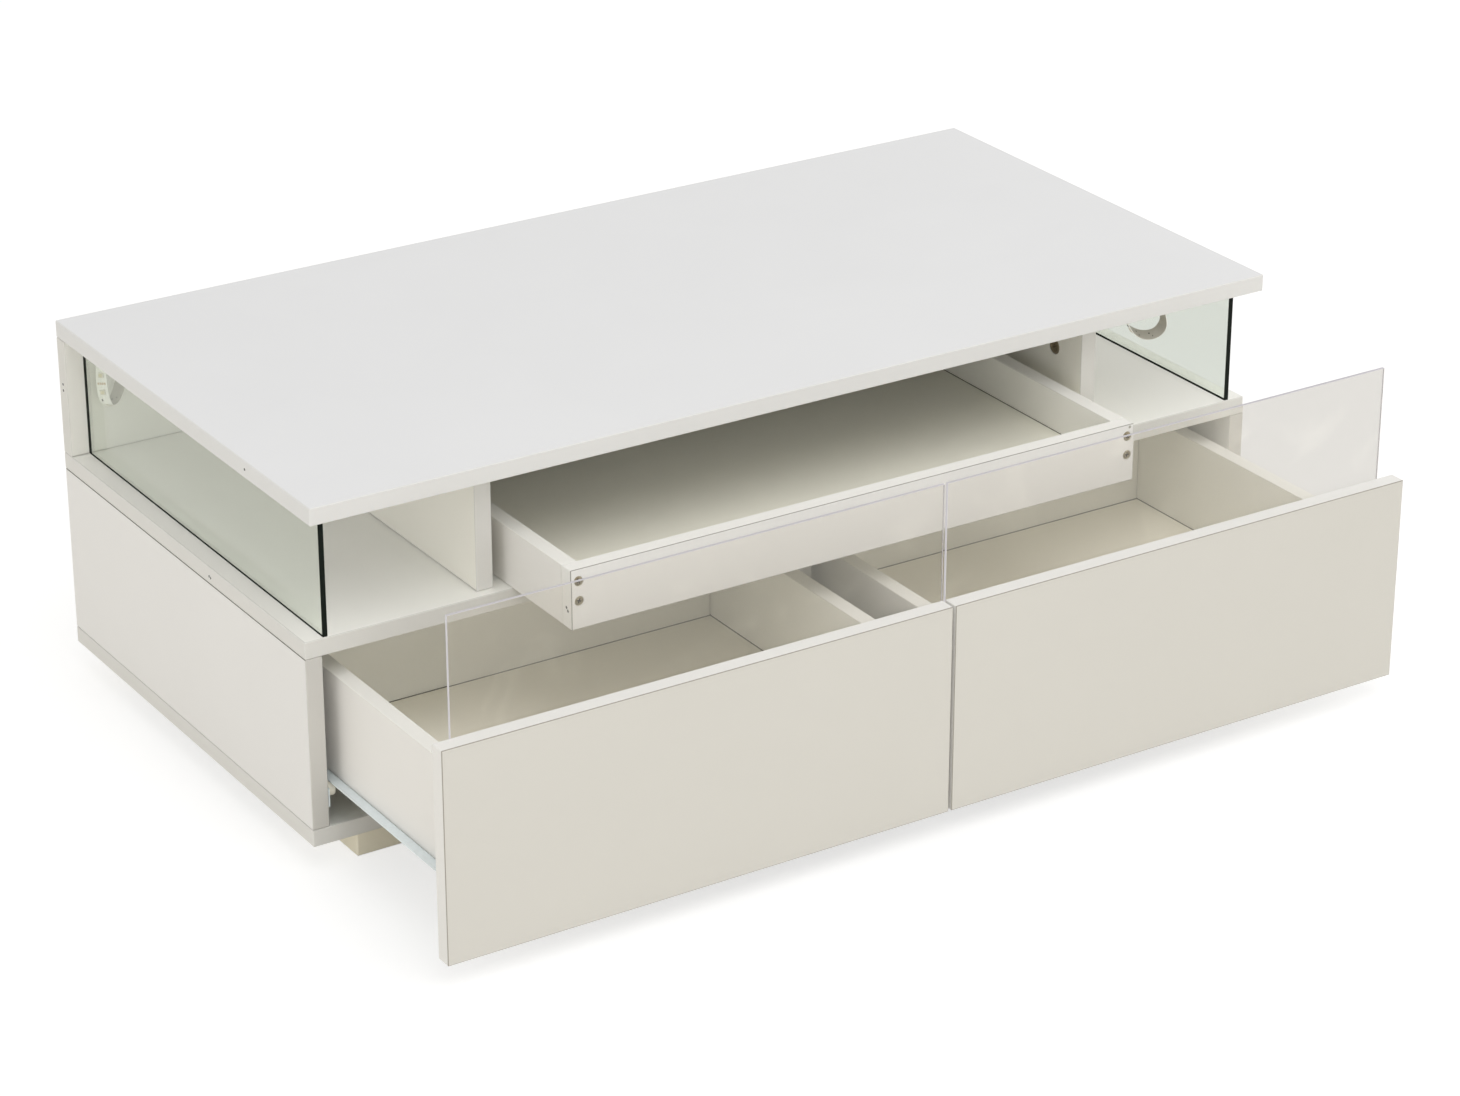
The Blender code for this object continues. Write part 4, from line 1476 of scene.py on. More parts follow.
@dataclass
class RolledSlide:
    """One roller slide: the rail under the drawer, the channel on the wall, and their rollers."""

    drawer: Side
    hand: Side
    sheet: float = 1.2 * MM
    bend: float = 1.6 * MM
    bend_steps: int = 5
    lip_reach: float = 9.5 * MM
    slot_half: float = 7 * MM
    slot_radius: float = 2.2 * MM
    slot_shares: tuple[float, ...] = (0.16, 0.45, 0.74)
    slot_sides: int = 24
    cutter_reach: float = 3 * MM
    sheet_edge: float = 0.25 * MM
    sheet_corner: float = 60.0
    side_gap: float = 0.3 * MM
    rivet_radius: float = 3.8 * MM
    rivet_neck: float = 2.3 * MM
    rivet_head: tuple[Span, ...] = (
        (0, 0.8 * MM),
        (0.45, 0.72 * MM),
        (0.6, 0.5 * MM),
        (0.8, 0.74 * MM),
        (1, 0.4 * MM),
        (1, 0),
    )
    cap_shape: tuple[Span, ...] = (
        (0, 1.15 * MM),
        (0.5, 1.1 * MM),
        (0.9, 1.0 * MM),
        (1.02, 0.82 * MM),
        (0.9, 0.801 * MM),
        (0, 0.801 * MM),
    )
    rivet_sides: int = 32
    tab_length: float = 18 * MM
    tab_edge: float = 0.2 * MM
    roller_radius: float = 7 * MM
    roller_half: float = 3.3 * MM
    roller_bore: float = 2.55 * MM
    roller_hub: float = 0.94
    roller_face: tuple[Span, ...] = (
        (0.52, 0.94),
        (0.58, 0.72),
        (0.74, 0.72),
        (0.80, 1),
        (0.93, 1),
        (0.985, 0.9),
        (1, 0.72),
    )
    roller_play: float = 0.35 * MM
    roller_sides: int = 56
    screw: CrossScrew = CrossScrew(
        head_radius=3.4 * MM,
        cone=0.9 * MM,
        shank_radius=1.5 * MM,
        length=9 * MM,
        recess_width=0.9 * MM,
        recess_reach=1.8 * MM,
        recess_depth=0.7 * MM,
        proud=0.9 * MM,
        steps=28,
    )

    @property
    def stem(self) -> str:
        """The start of the names of this slide's nodes."""
        return f"{self.drawer.value}_drawer_{self.hand.value}"

    @property
    def body(self) -> str:
        """The drawer's body."""
        return f"{self.drawer.value}_drawer"

    @property
    def inward(self) -> int:
        """Which way along X the drawer lies from the wall."""
        return 1 if self.hand is Side.LEFT else -1

    def _rounded(self, corners: Sequence[Span]) -> list[Vector]:
        """A path with its inner corners rounded to the sheet's bend.

        Args:
            corners: The corners of the path.

        Returns:
            The points of the rounded path.
        """
        points = [Vector(corner) for corner in corners]
        path = [points[0]]
        for before, here, after in zip(points, points[1:], points[2:]):
            back = (before - here).normalized()
            on = (after - here).normalized()
            start, end = here + back * self.bend, here + on * self.bend
            middle = start + on * self.bend
            for index in range(self.bend_steps + 1):
                angle = math.pi / 2 * index / self.bend_steps
                along, aside = self.bend * math.cos(angle), self.bend * math.sin(angle)
                path.append(middle - on * along - back * aside)
            path[-1] = end
        path.append(points[-1])
        return path

    def _rolled(self, name: str, corners: Sequence[Span], ends: Span) -> bpy.types.Object:
        """A steel profile rolled along Y.

        Args:
            name: Its name.
            corners: The corners of the sheet's middle line, as X and Z.
            ends: The Y where it starts and the Y where it ends.

        Returns:
            The profile.
        """
        bm = bmesh.new()
        path = self._rounded(corners)
        near = [bm.verts.new((point.x, ends[0], point.y)) for point in path]
        far = [bm.verts.new((point.x, ends[1], point.y)) for point in path]
        for index in range(len(path) - 1):
            bm.faces.new((near[index], near[index + 1], far[index + 1], far[index]))
        made = Shop.place(name, bm)
        shell = made.modifiers.new("sheet", "SOLIDIFY")
        shell.thickness = self.sheet
        shell.offset = 0
        shell.use_even_offset = True
        edges = made.modifiers.new("edges", "BEVEL")
        edges.width = self.sheet_edge
        edges.segments = 2
        edges.limit_method = "ANGLE"
        edges.angle_limit = math.radians(self.sheet_corner)
        Shop.settle(made)
        return made

    def _slots(self, name: str, x: float, z: float, ys: Iterable[float]) -> bpy.types.Object:
        """Cutters for oblong holes through an upright leg.

        Args:
            name: The cutter's name.
            x: Where the leg is.
            z: The height of the holes.
            ys: Where their middles are.

        Returns:
            The cutter.
        """
        bm = bmesh.new()
        shift = self.slot_half - self.slot_radius
        reach = self.cutter_reach
        for y in ys:
            rim = []
            for index in range(self.slot_sides):
                angle = 2 * math.pi * (index + 0.5) / self.slot_sides
                along = shift if math.cos(angle) > 0 else -shift
                across = self.slot_radius * math.cos(angle)
                rim.append((y + along + across, z + self.slot_radius * math.sin(angle)))
            left = [bm.verts.new((x - reach, a, b)) for a, b in rim]
            right = [bm.verts.new((x + reach, a, b)) for a, b in rim]
            bm.faces.new(left)
            bm.faces.new(list(reversed(right)))
            Shop.wall(bm, left, right)
        return Shop.place(f"{name}_slots", bm)

    def _rivet(self, name: str, axle: Vector, start: float, direction: int) -> bpy.types.Object:
        """The rivet that a roller turns on, with a pressed head.

        Args:
            name: The rivet's name.
            axle: The roller's middle.
            start: The X of the steel that holds it.
            direction: Which way along X it points.

        Returns:
            The rivet.
        """
        reach = abs(axle.x - start) + self.roller_half + self.roller_play
        head = [(self.rivet_radius * wide, reach + rise) for wide, rise in self.rivet_head]
        profile: Profile = [*head, (self.rivet_neck, reach), (self.rivet_neck, 0), (0, 0)]
        bm = bmesh.new()
        stand = facing((start, axle.y, axle.z), (direction, 0, 0))
        Shop.turn(bm, profile, stand, self.rivet_sides)
        made = Shop.place(name, bm)
        Shop.smooth(made)
        return made

    def _roller(self, name: str, node: str, finish: bpy.types.Material) -> Vector:
        """Builds one nylon roller in place of the CAD one.

        Args:
            name: The roller's name.
            node: The CAD roller, whose body has the same name.
            finish: Its material.

        Returns:
            The roller's middle.
        """
        low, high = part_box(node)
        middle = (low + high) / 2
        radius, half = self.roller_radius, self.roller_half
        outer: Profile = [(self.roller_bore, half * self.roller_hub)]
        outer += [(radius * wide, half * deep) for wide, deep in self.roller_face]
        profile: Profile = outer + [(wide, -deep) for wide, deep in reversed(outer)]
        bm = bmesh.new()
        Shop.turn(bm, profile, facing(middle, (1, 0, 0)), self.roller_sides)
        made = Shop.place(name, bm)
        Shop.smooth(made)
        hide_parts(node)
        Shop.finish(made, node, "roller_plastic", finish)
        return middle

    def build(self, finishes: Finishes) -> None:
        """Builds and dresses the whole slide.

        Args:
            finishes: The table's finishes.
        """
        powder = finishes.slide.material(self.stem)
        plated = finishes.steel.material(f"{self.stem}_rivets")
        nylon = finishes.nylon.material(self.stem)
        recess = finishes.recess.material(f"{self.stem}_rail_screws")
        self._build_rail(powder, plated, nylon, recess)
        self._build_channel(powder, plated, nylon)

    def _build_rail(
        self,
        powder: bpy.types.Material,
        plated: bpy.types.Material,
        nylon: bpy.types.Material,
        recess: bpy.types.Material,
    ) -> None:
        """The rail under the drawer's side, its rear roller and its screws.

        Args:
            powder: The finish of the steel.
            plated: The finish of rivets and screws.
            nylon: The finish of the roller.
            recess: The finish inside the screws' crosses.
        """
        node = f"{self.stem}_rail"
        low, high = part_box(node)
        side_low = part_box(f"{self.stem}_side")[0]
        lip_z = high.z - self.sheet / 2
        under_z = side_low.z - self.side_gap - self.sheet / 2
        tip = low.x if self.inward > 0 else high.x
        leg = tip + self.inward * self.lip_reach
        end = high.x if self.inward > 0 else low.x
        corners = ((tip, lip_z), (leg, lip_z), (leg, under_z), (end, under_z))
        rail = self._rolled(f"{self.stem}_rolled_rail", corners, (low.y, high.y))
        spots = [low.y + (high.y - low.y) * share for share in self.slot_shares]
        Shop.cut(rail, self._slots(rail.name, leg, (lip_z + under_z) / 2, spots))
        axle = self._roller(f"{self.stem}_rear_wheel", f"{self.stem}_rail_roller", nylon)
        bm = bmesh.new()
        bm.from_mesh(rail.data)
        tab_low = axle.z - self.rivet_radius
        tab_high = under_z + self.sheet
        size = (self.sheet, self.tab_length, tab_high - tab_low)
        middle = Vector((leg, high.y - self.tab_length / 2, (tab_low + tab_high) / 2))
        Shop.block(bm, size, Matrix.Translation(middle), self.tab_edge)
        bm.to_mesh(rail.data)
        bm.free()
        Shop.smooth(rail)
        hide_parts(node)
        Shop.finish(rail, self.body, "slide_steel", powder)
        rivet = self._rivet(f"{self.stem}_rear_rivet", axle, leg, -self.inward)
        Shop.finish(rivet, self.body, "screw_steel", plated)
        outer = leg - self.inward * self.sheet / 2
        for index, y in enumerate(spots):
            stand = facing((outer, y, (lip_z + under_z) / 2), (-self.inward, 0, 0))
            screw = self.screw.build(f"{self.stem}_rail_screw_{index + 1}", stand, index)
            Shop.finish(screw, self.body, "screw_steel", plated, recess)

    def _build_channel(
        self, powder: bpy.types.Material, plated: bpy.types.Material, nylon: bpy.types.Material
    ) -> None:
        """The channel on the wall and its front roller.

        Args:
            powder: The finish of the steel.
            plated: The finish of the rivet.
            nylon: The finish of the roller.
        """
        node = f"{self.stem}_channel"
        Shop.dress(node, powder)
        low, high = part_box(node)
        web = (low.x if self.inward > 0 else high.x) + self.inward * self.sheet
        axle = self._roller(f"{self.stem}_front_wheel", f"{self.stem}_channel_roller", nylon)
        bm = bmesh.new()
        outer = abs(axle.x - web) + (self.roller_half + self.roller_play)
        cap = [(self.rivet_radius * wide, outer + rise) for wide, rise in self.cap_shape]
        Shop.turn(bm, cap, facing((web, axle.y, axle.z), (self.inward, 0, 0)), self.rivet_sides)
        made = Shop.place(f"{self.stem}_front_rivet_cap", bm)
        Shop.smooth(made)
        Shop.finish(made, "carcass", "screw_steel", plated)


@dataclass
class CamLock:
    """A cam lock sunk into a divider, with a cross and a pointer notch in its face."""

    node: str
    into: int
    radius: float = 7.5 * MM
    depth: float = 12.5 * MM
    rim: float = 0.5 * MM
    dish: float = 0.6 * MM
    dish_floor: float = 0.62
    dish_mouth: float = 0.68
    turned: float = 0.6
    bar_share: float = 1.15
    bar_width: float = 1.5 * MM
    bar_height: float = 4 * MM
    bar_sink: float = 1.2 * MM
    bar_edge: float = 0.2 * MM
    pointer: float = 1.6 * MM
    pointer_share: float = 0.84
    pointer_rise: float = 1 * MM
    pointer_depth: float = 0.7 * MM
    sides: int = 48

    def build(self, finish: MetalFinish) -> None:
        """Builds the lock in place of the CAD one.

        Args:
            finish: The finish of its metal.
        """
        low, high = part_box(self.node)
        middle = (low + high) / 2
        face = low.x if self.into > 0 else high.x
        stand = facing((face, middle.y, middle.z), (-self.into, 0, 0))
        profile: Profile = [
            (0, -self.dish),
            (self.radius * self.dish_floor, -self.dish),
            (self.radius * self.dish_mouth, 0.0),
            (self.radius - self.rim, 0.0),
            (self.radius, -self.rim),
            (self.radius, -self.depth),
            (0, -self.depth),
        ]
        bm = bmesh.new()
        Shop.turn(bm, profile, stand, self.sides)
        made = Shop.place(f"{self.node}_lock", bm)
        size = (self.radius * self.bar_share, self.bar_width, self.bar_height)
        sunk = Matrix.Translation((0, 0, -self.bar_sink))
        for quarter in range(2):
            bar = bmesh.new()
            spun = stand @ Matrix.Rotation(quarter * math.pi / 2 + self.turned, 4, "Z")
            Shop.block(bar, size, spun @ sunk, self.bar_edge)
            Shop.cut(made, Shop.place(f"{self.node}_cross_bar_{quarter + 1}", bar))
        notch = bmesh.new()
        aside = Matrix.Translation((self.radius * self.pointer_share, 0, 0))
        spot = stand @ Matrix.Rotation(self.turned, 4, "Z") @ aside
        wedge: Profile = [
            (0, self.pointer_rise),
            (self.pointer / 2, self.pointer_rise),
            (0, -self.pointer_depth),
        ]
        Shop.turn(notch, wedge, spot, 3)
        Shop.cut(made, Shop.place(f"{self.node}_pointer", notch))
        Shop.smooth(made)
        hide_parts(self.node)
        Shop.finish(made, "carcass", "zinc", finish.material(self.node))


@dataclass
class GlassSheet:
    """One glass end: a clear sheet with small arrises and edges painted dark as painted shade.

    A dark margin on its left face is painted shade too: it stands for the edges as the glass shows
    them from the front.
    """

    side: Side
    arris: float = 0.35 * MM
    low_margin: float = 2.5 * MM
    rear_margin: float = 6.5 * MM
    front_margin: float = 0.5 * MM

    def _outline(self, x: float, low: Vector, high: Vector, steps: Sequence[float]) -> list[Vector]:
        """The corners of a rectangle across X, inside the sheet's box.

        Args:
            x: Where it lies.
            low: The box's lowest corner.
            high: The box's highest corner.
            steps: How far it is inside the front, rear, bottom and top.

        Returns:
            The corners, from the lower front one round by the lower rear one.
        """
        front, rear = low.y + steps[0], high.y - steps[1]
        bottom, top = low.z + steps[2], high.z - steps[3]
        return [
            Vector((x, front, bottom)),
            Vector((x, rear, bottom)),
            Vector((x, rear, top)),
            Vector((x, front, top)),
        ]

    def build(self, finishes: Finishes) -> None:
        """Builds the sheet in place of the CAD one.

        Args:
            finishes: The table's finishes.
        """
        node = f"{self.side.value}_glass_pane"
        low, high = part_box(node)
        plain, arris = (0.0,) * 4, (self.arris,) * 4
        # The margin on the left face is painted dark: painted shade for how the edges show through
        # the glass from the front.
        margin = (self.front_margin, self.rear_margin, self.low_margin, self.low_margin)
        loops = (
            (low.x, margin),
            (low.x, arris),
            (low.x + self.arris, plain),
            (high.x - self.arris, plain),
            (high.x, arris),
        )
        bm = bmesh.new()
        outlines = [self._outline(x, low, high, steps) for x, steps in loops]
        rings = [[bm.verts.new(corner) for corner in outline] for outline in outlines]
        # The margin, the arrises and the edges take the dark edge finish: painted shade.
        for face in Shop.bridge(bm, rings):
            face.material_index = 1
        bm.faces.new(rings[0])
        bm.faces.new(rings[-1])
        sheet = Shop.place(f"{self.side.value}_glass_sheet", bm)
        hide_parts(node)
        clear = finishes.glass.material(node, Extent.of(node))
        Shop.finish(sheet, "carcass", "side_glass", clear, finishes.glass.painted_dark_edge(node))


@dataclass
class PinMarks:
    """Small filled pin holes in a board: a pale plug with a dark dimple."""

    name: str
    body: str
    slot: str
    out: Point
    places: tuple[Point, ...]
    radius: float = 2.3 * MM
    dimple: float = 1.4 * MM
    dimple_rise: float = 0.02 * MM
    ring_rise: float = 0.03 * MM
    rim_rise: float = 0.05 * MM
    rim_share: float = 0.8
    depth: float = 0.2 * MM
    sides: int = 24

    def build(self, plug: MouldedFinish, hole: MouldedFinish) -> None:
        """Builds every mark of one board.

        Args:
            plug: The finish of the plugs.
            hole: The finish of their dimples.
        """
        bm = bmesh.new()
        disc: Profile = [
            (0, self.dimple_rise),
            (self.dimple, self.ring_rise),
            (self.radius * self.rim_share, self.rim_rise),
            (self.radius, -self.depth),
            (0, -self.depth),
        ]
        for place in self.places:
            known = set(bm.faces)
            Shop.turn(bm, disc, facing(place, self.out), self.sides)
            for face in bm.faces:
                away = (face.calc_center_median() - Vector(place)).length
                if face not in known and away < self.dimple:
                    face.material_index = 1
        made = Shop.place(self.name, bm)
        Shop.finish(made, self.body, self.slot, plug.material(self.name), hole.material(self.name))


@dataclass
class TableCarcass:
    """The boards that stand still, the feet, the glass ends and the cam locks."""

    boards: tuple[str, ...] = (
        "display_shelf",
        "bottom_board",
        "lower_back_panel",
        "centre_partition",
    )
    dividers: tuple[str, ...] = ("left_divider", "right_divider")
    seamed: tuple[str, ...] = ("left_side_panel", "right_side_panel")
    seam_reach: float = 20 * MM
    pins: tuple[Point, ...] = (
        (-500 * MM, 348.6 * MM, 283.7 * MM),
        (-500 * MM, 348.6 * MM, 289.8 * MM),
        (-500 * MM, -25.4 * MM, 342.2 * MM),
        (-500 * MM, 54.1 * MM, 210.3 * MM),
        (-500 * MM, 56.6 * MM, 210.8 * MM),
    )
    feet: tuple[str, ...] = (
        "front_left_foot",
        "front_right_foot",
        "rear_left_foot",
        "rear_right_foot",
    )

    def dress_boards(self, finishes: Finishes) -> None:
        """Dresses every board and foot.

        Args:
            finishes: The table's finishes.
        """
        for nodes, finish in (
            (self.boards, finishes.carcass),
            (self.dividers, finishes.divider),
            (self.feet, finishes.foot),
            (("table_top",), finishes.top),
            (("upper_back_panel",), finishes.back),
        ):
            for node in nodes:
                Shop.dress(node, finish.material(node, Extent.of(node)))
        # The side panels' seam lines are partly the joints, partly painted shade.
        for node in self.seamed:
            upright = Extent.of(node).shrunk((0.0, -self.seam_reach, 0.0))
            Shop.dress(node, finishes.side.material(node, upright))

    def build(self, finishes: Finishes) -> None:
        """Dresses the carcass and fits its glass ends and cam locks.

        Args:
            finishes: The table's finishes.
        """
        self.dress_boards(finishes)
        for side in Side:
            GlassSheet(side).build(finishes)
            for end in ("front", "rear"):
                CamLock(f"{side.value}_divider_{end}_cam", side.sign).build(finishes.zinc)
        PinMarks("left_end_pin_marks", "carcass", "white_board", (-1, 0, 0), self.pins).build(
            finishes.moulding, finishes.resistor
        )


@dataclass
class WideDrawer:
    """One wide drawer with its front, the clear pane on it, its box and its slides."""

    side: Side
    screw_shares: tuple[float, ...] = (0.06, 0.35, 0.65, 0.94)
    screw_rise: float = 18 * MM
    screw: CrossScrew = CrossScrew(
        head_radius=4 * MM,
        cone=0.9 * MM,
        shank_radius=1.7 * MM,
        length=1.2 * MM,
        proud=1.9 * MM,
    )
    washer_radius: float = 5.5 * MM
    washer_hole: float = 2.4 * MM
    washer_gap: float = 0.02 * MM
    washer: float = 0.8 * MM
    washer_rim: float = 0.25 * MM
    washer_shoulder: float = 0.8
    first_turn: float = 0.4
    groove: float = 4.7 * MM

    @property
    def stem(self) -> str:
        """The start of the names of this drawer's nodes."""
        return f"{self.side.value}_drawer"

    def _fit_pane_screws(self, finishes: Finishes) -> None:
        """Screws with washers that hold the pane to the rear of the front.

        Args:
            finishes: The table's finishes.
        """
        low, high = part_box(f"{self.stem}_pane")
        plated = finishes.steel.material(f"{self.stem}_pane_screws")
        recess = finishes.recess.material(f"{self.stem}_pane_screws")
        ring: Profile = [
            (self.washer_hole, self.washer_gap),
            (self.washer_radius, self.washer_gap),
            (self.washer_radius, self.washer * self.washer_shoulder),
            (self.washer_radius - self.washer_rim, self.washer),
            (self.washer_hole, self.washer),
        ]
        for index, share in enumerate(self.screw_shares):
            place = (low.x + (high.x - low.x) * share, high.y, low.z + self.screw_rise)
            stand = facing(place, (0, 1, 0))
            bm = bmesh.new()
            Shop.turn(bm, ring, stand)
            washer = Shop.place(f"{self.stem}_washer_{index + 1}", bm)
            Shop.smooth(washer)
            Shop.finish(washer, self.stem, "screw_steel", plated)
            turned = self.first_turn + index
            screw = self.screw.build(f"{self.stem}_pane_screw_{index + 1}", stand, turned)
            Shop.finish(screw, self.stem, "screw_steel", plated, recess)

    def build(self, finishes: Finishes) -> None:
        """Dresses the drawer and builds its slides.

        Args:
            finishes: The table's finishes.
        """
        for part, finish in (
            ("front", finishes.front),
            ("pane", finishes.acrylic),
            ("left_side", finishes.box_left),
            ("right_side", finishes.box),
            ("back", finishes.box),
        ):
            node = f"{self.stem}_{part}"
            Shop.dress(node, finish.material(node, Extent.of(node)))
        bottom = f"{self.stem}_bottom"
        # The panel's dark line runs where the bottom meets the groove: partly the joint, partly
        # painted shade in the crease.
        inside = Extent.of(bottom).shrunk((self.groove, self.groove, 0.0))
        Shop.dress(bottom, finishes.panel.material(bottom, inside))
        self._fit_pane_screws(finishes)
        for hand in Side:
            RolledSlide(self.side, hand).build(finishes)


@dataclass
class CentreTray:
    """The tray that slides on the shelf, with screws through its front."""

    sink: float = 0.5 * MM
    screw: CrossScrew = CrossScrew(length=40 * MM)
    first_turn: float = 0.35
    more_turn: float = 0.9
    groove: float = 4.7 * MM
    pins: tuple[Point, ...] = (
        (-299.8 * MM, -216.6 * MM, 236.2 * MM),
        (-299.8 * MM, -214.4 * MM, 238.8 * MM),
    )
    front_pins: tuple[Point, ...] = ((286.3 * MM, -223.0 * MM, 272.6 * MM),)
    parts: tuple[str, ...] = ("tray_right_side", "tray_back")

    def _fit_screws(self, finishes: Finishes) -> None:
        """Builds the screws in the tray's front in place of the CAD ones.

        Args:
            finishes: The table's finishes.
        """
        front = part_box("tray_front")[0]
        metal = finishes.screw.material("tray_screws")
        recess = finishes.recess.material("tray_screws")
        for index, (side, level) in enumerate((a, b) for a in Side for b in ("upper", "lower")):
            node = f"tray_{side.value}_{level}_screw"
            low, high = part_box(node)
            middle = (low + high) / 2
            stand = facing((middle.x, front.y + self.sink, middle.z), (0, -1, 0))
            turned = self.first_turn + self.more_turn * index
            screw = self.screw.build(f"{node}_head", stand, turned)
            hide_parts(node)
            Shop.finish(screw, "tray", "screw_steel", metal, recess)
        PinMarks("tray_pin_marks", "tray", "box_board", (-1, 0, 0), self.pins).build(
            finishes.moulding, finishes.resistor
        )
        PinMarks("tray_front_pin_mark", "tray", "box_board", (0, -1, 0), self.front_pins).build(
            finishes.moulding, finishes.backing
        )

    def build(self, finishes: Finishes) -> None:
        """Dresses the tray and fits its screws.

        Args:
            finishes: The table's finishes.
        """
        Shop.dress("tray_front", finishes.tray_front.material("tray", Extent.of("tray_front")))
        for node in self.parts:
            Shop.dress(node, finishes.box.material(node, Extent.of(node)))
        left = "tray_left_side"
        Shop.dress(left, finishes.box_left.material(left, Extent.of(left)))
        # The tray bottom's dark line is partly the joint, partly painted shade in the crease.
        inside = Extent.of("tray_bottom").shrunk((self.groove, self.groove, 0.0))
        Shop.dress("tray_bottom", finishes.tray_floor.material("tray_bottom", inside))
        self._fit_screws(finishes)


@dataclass
class LightStrip:
    """A light strip stuck under the top, with a hanging loop of slack and its small lamps."""

    side: Side
    start_x: float
    end_x: float
    loop_x: float
    half: float
    drop: float
    swing: float
    turn: float
    twist: float
    flare: float
    y: float
    lamps_face: Facing
    flat_z: float = 333.3 * MM
    width: float = 10 * MM
    thickness: float = 0.8 * MM
    fall_share: float = 0.7
    pitch: float = 16.6 * MM
    lamp_size: Point = (5 * MM, 5 * MM, 1.3 * MM)
    lamp_edge: float = 0.25 * MM
    window_radius: float = 1.7 * MM
    window_shape: tuple[Span, ...] = (
        (0, 0.06 * MM),
        (0.8, 0.05 * MM),
        (1, 0),
        (1, -0.3 * MM),
        (0, -0.3 * MM),
    )
    window_sides: int = 20
    resistor_size: Point = (2.0 * MM, 1.2 * MM, 0.5 * MM)
    resistor_edge: float = 0.08 * MM
    resistor_aside: float = 2.2 * MM
    pad_size: Point = (2.2 * MM, 1.3 * MM, 0.12 * MM)
    pad_edge: float = 0.03 * MM
    pads_aside: tuple[float, ...] = (-3 * MM, -1 * MM, 1 * MM, 3 * MM)
    back_size: Point = (1.6 * MM, 1.1 * MM, 0.08 * MM)
    back_edge: float = 0.02 * MM
    backs_aside: tuple[float, ...] = (-1.4 * MM, 1.8 * MM)
    lead_steps: int = 24
    loop_steps: int = 120
    tail_steps: int = 8

    @property
    def stem(self) -> str:
        """The name of the strip's CAD node."""
        return f"{self.side.value}_light_strip"

    def _route(self) -> list[tuple[Vector, Vector]]:
        """The strip's middle line, from the divider to the glass.

        Returns:
            The points, each with the way that the strip's width lies there.
        """
        towards = 1 if self.loop_x > self.start_x else -1
        level = Vector((0, 1, 0))
        first = self.loop_x - towards * self.half
        route = []
        for index in range(self.lead_steps):
            x = self.start_x + (first - self.start_x) * (index / self.lead_steps)
            route.append((Vector((x, self.y, self.flat_z)), level))
        for index in range(self.loop_steps + 1):
            angle = math.pi * index / self.loop_steps
            fall = max(math.sin(angle), 0) ** self.fall_share
            offset = -towards * self.half * math.cos(angle)
            x = self.loop_x + offset + towards * self.swing * fall
            spot = Vector((x, self.y + self.turn * offset * fall, self.flat_z - self.drop * fall))
            side = self.turn * fall + self.flare * abs(math.sin(2 * angle))
            route.append((spot, Vector((-side, 1, self.twist * fall))))
        last = route[-1][0].x
        for index in range(1, self.tail_steps + 1):
            x = last + (self.end_x - last) * index / self.tail_steps
            route.append((Vector((x, self.y, self.flat_z)), level))
        return route

    def _frames(self) -> list[tuple[float, Matrix]]:
        """The strip's own frames, with X along it, Y across it and Z out of its face.

        Returns:
            Distances along the strip, each with the frame there.
        """
        route = self._route()
        frames = []
        length = 0.0
        for index, (spot, width) in enumerate(route):
            ahead = route[min(index + 1, len(route) - 1)][0]
            behind = route[max(index - 1, 0)][0]
            if index:
                length += (spot - route[index - 1][0]).length
            along = (ahead - behind).normalized()
            across = (width - along * width.dot(along)).normalized()
            out = along.cross(across) * self.lamps_face.value
            turn = Matrix((along, out.cross(along), out)).transposed().to_4x4()
            frames.append((length, Matrix.Translation(spot) @ turn))
        return frames

    def _stations(self, first: float) -> list[Matrix]:
        """The frames at every pitch along the strip.

        Args:
            first: How far along the strip the first one is.

        Returns:
            The frames.
        """
        frames = self._frames()
        wanted = first
        found = []
        for (before, matrix), (after, _) in zip(frames, frames[1:]):
            if before <= wanted < after:
                shift = Matrix.Translation((wanted - before, 0, 0))
                found.append(matrix @ shift)
                wanted += self.pitch
        return found

    def build(self, finishes: Finishes) -> None:
        """Builds the ribbon in place of the CAD one, with its lamps, resistors and solder pads.

        Args:
            finishes: The table's finishes.
        """
        bm = bmesh.new()
        rings = []
        side, rise = self.width / 2, self.thickness / 2
        corners = ((-side, -rise), (side, -rise), (side, rise), (-side, rise))
        for _, matrix in self._frames():
            rings.append([bm.verts.new(matrix @ Vector((0, a, b))) for a, b in corners])
        # The back face takes the backing finish, which is partly painted shade.
        for index, face in enumerate(Shop.bridge(bm, rings)):
            face.material_index = int(index % len(corners) == 0)
        bm.faces.new(rings[0])
        bm.faces.new(rings[-1])
        ribbon = Shop.place(f"{self.stem}_ribbon", bm)
        Shop.smooth(ribbon, angle=50.0)
        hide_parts(self.stem)
        lacquer = finishes.strip.material(self.stem)
        backing = finishes.backing.material(self.stem)
        Shop.finish(ribbon, "carcass", "strip_white", lacquer, backing)
        self._fit_lamps(finishes)
        self._fit_small_parts(finishes)

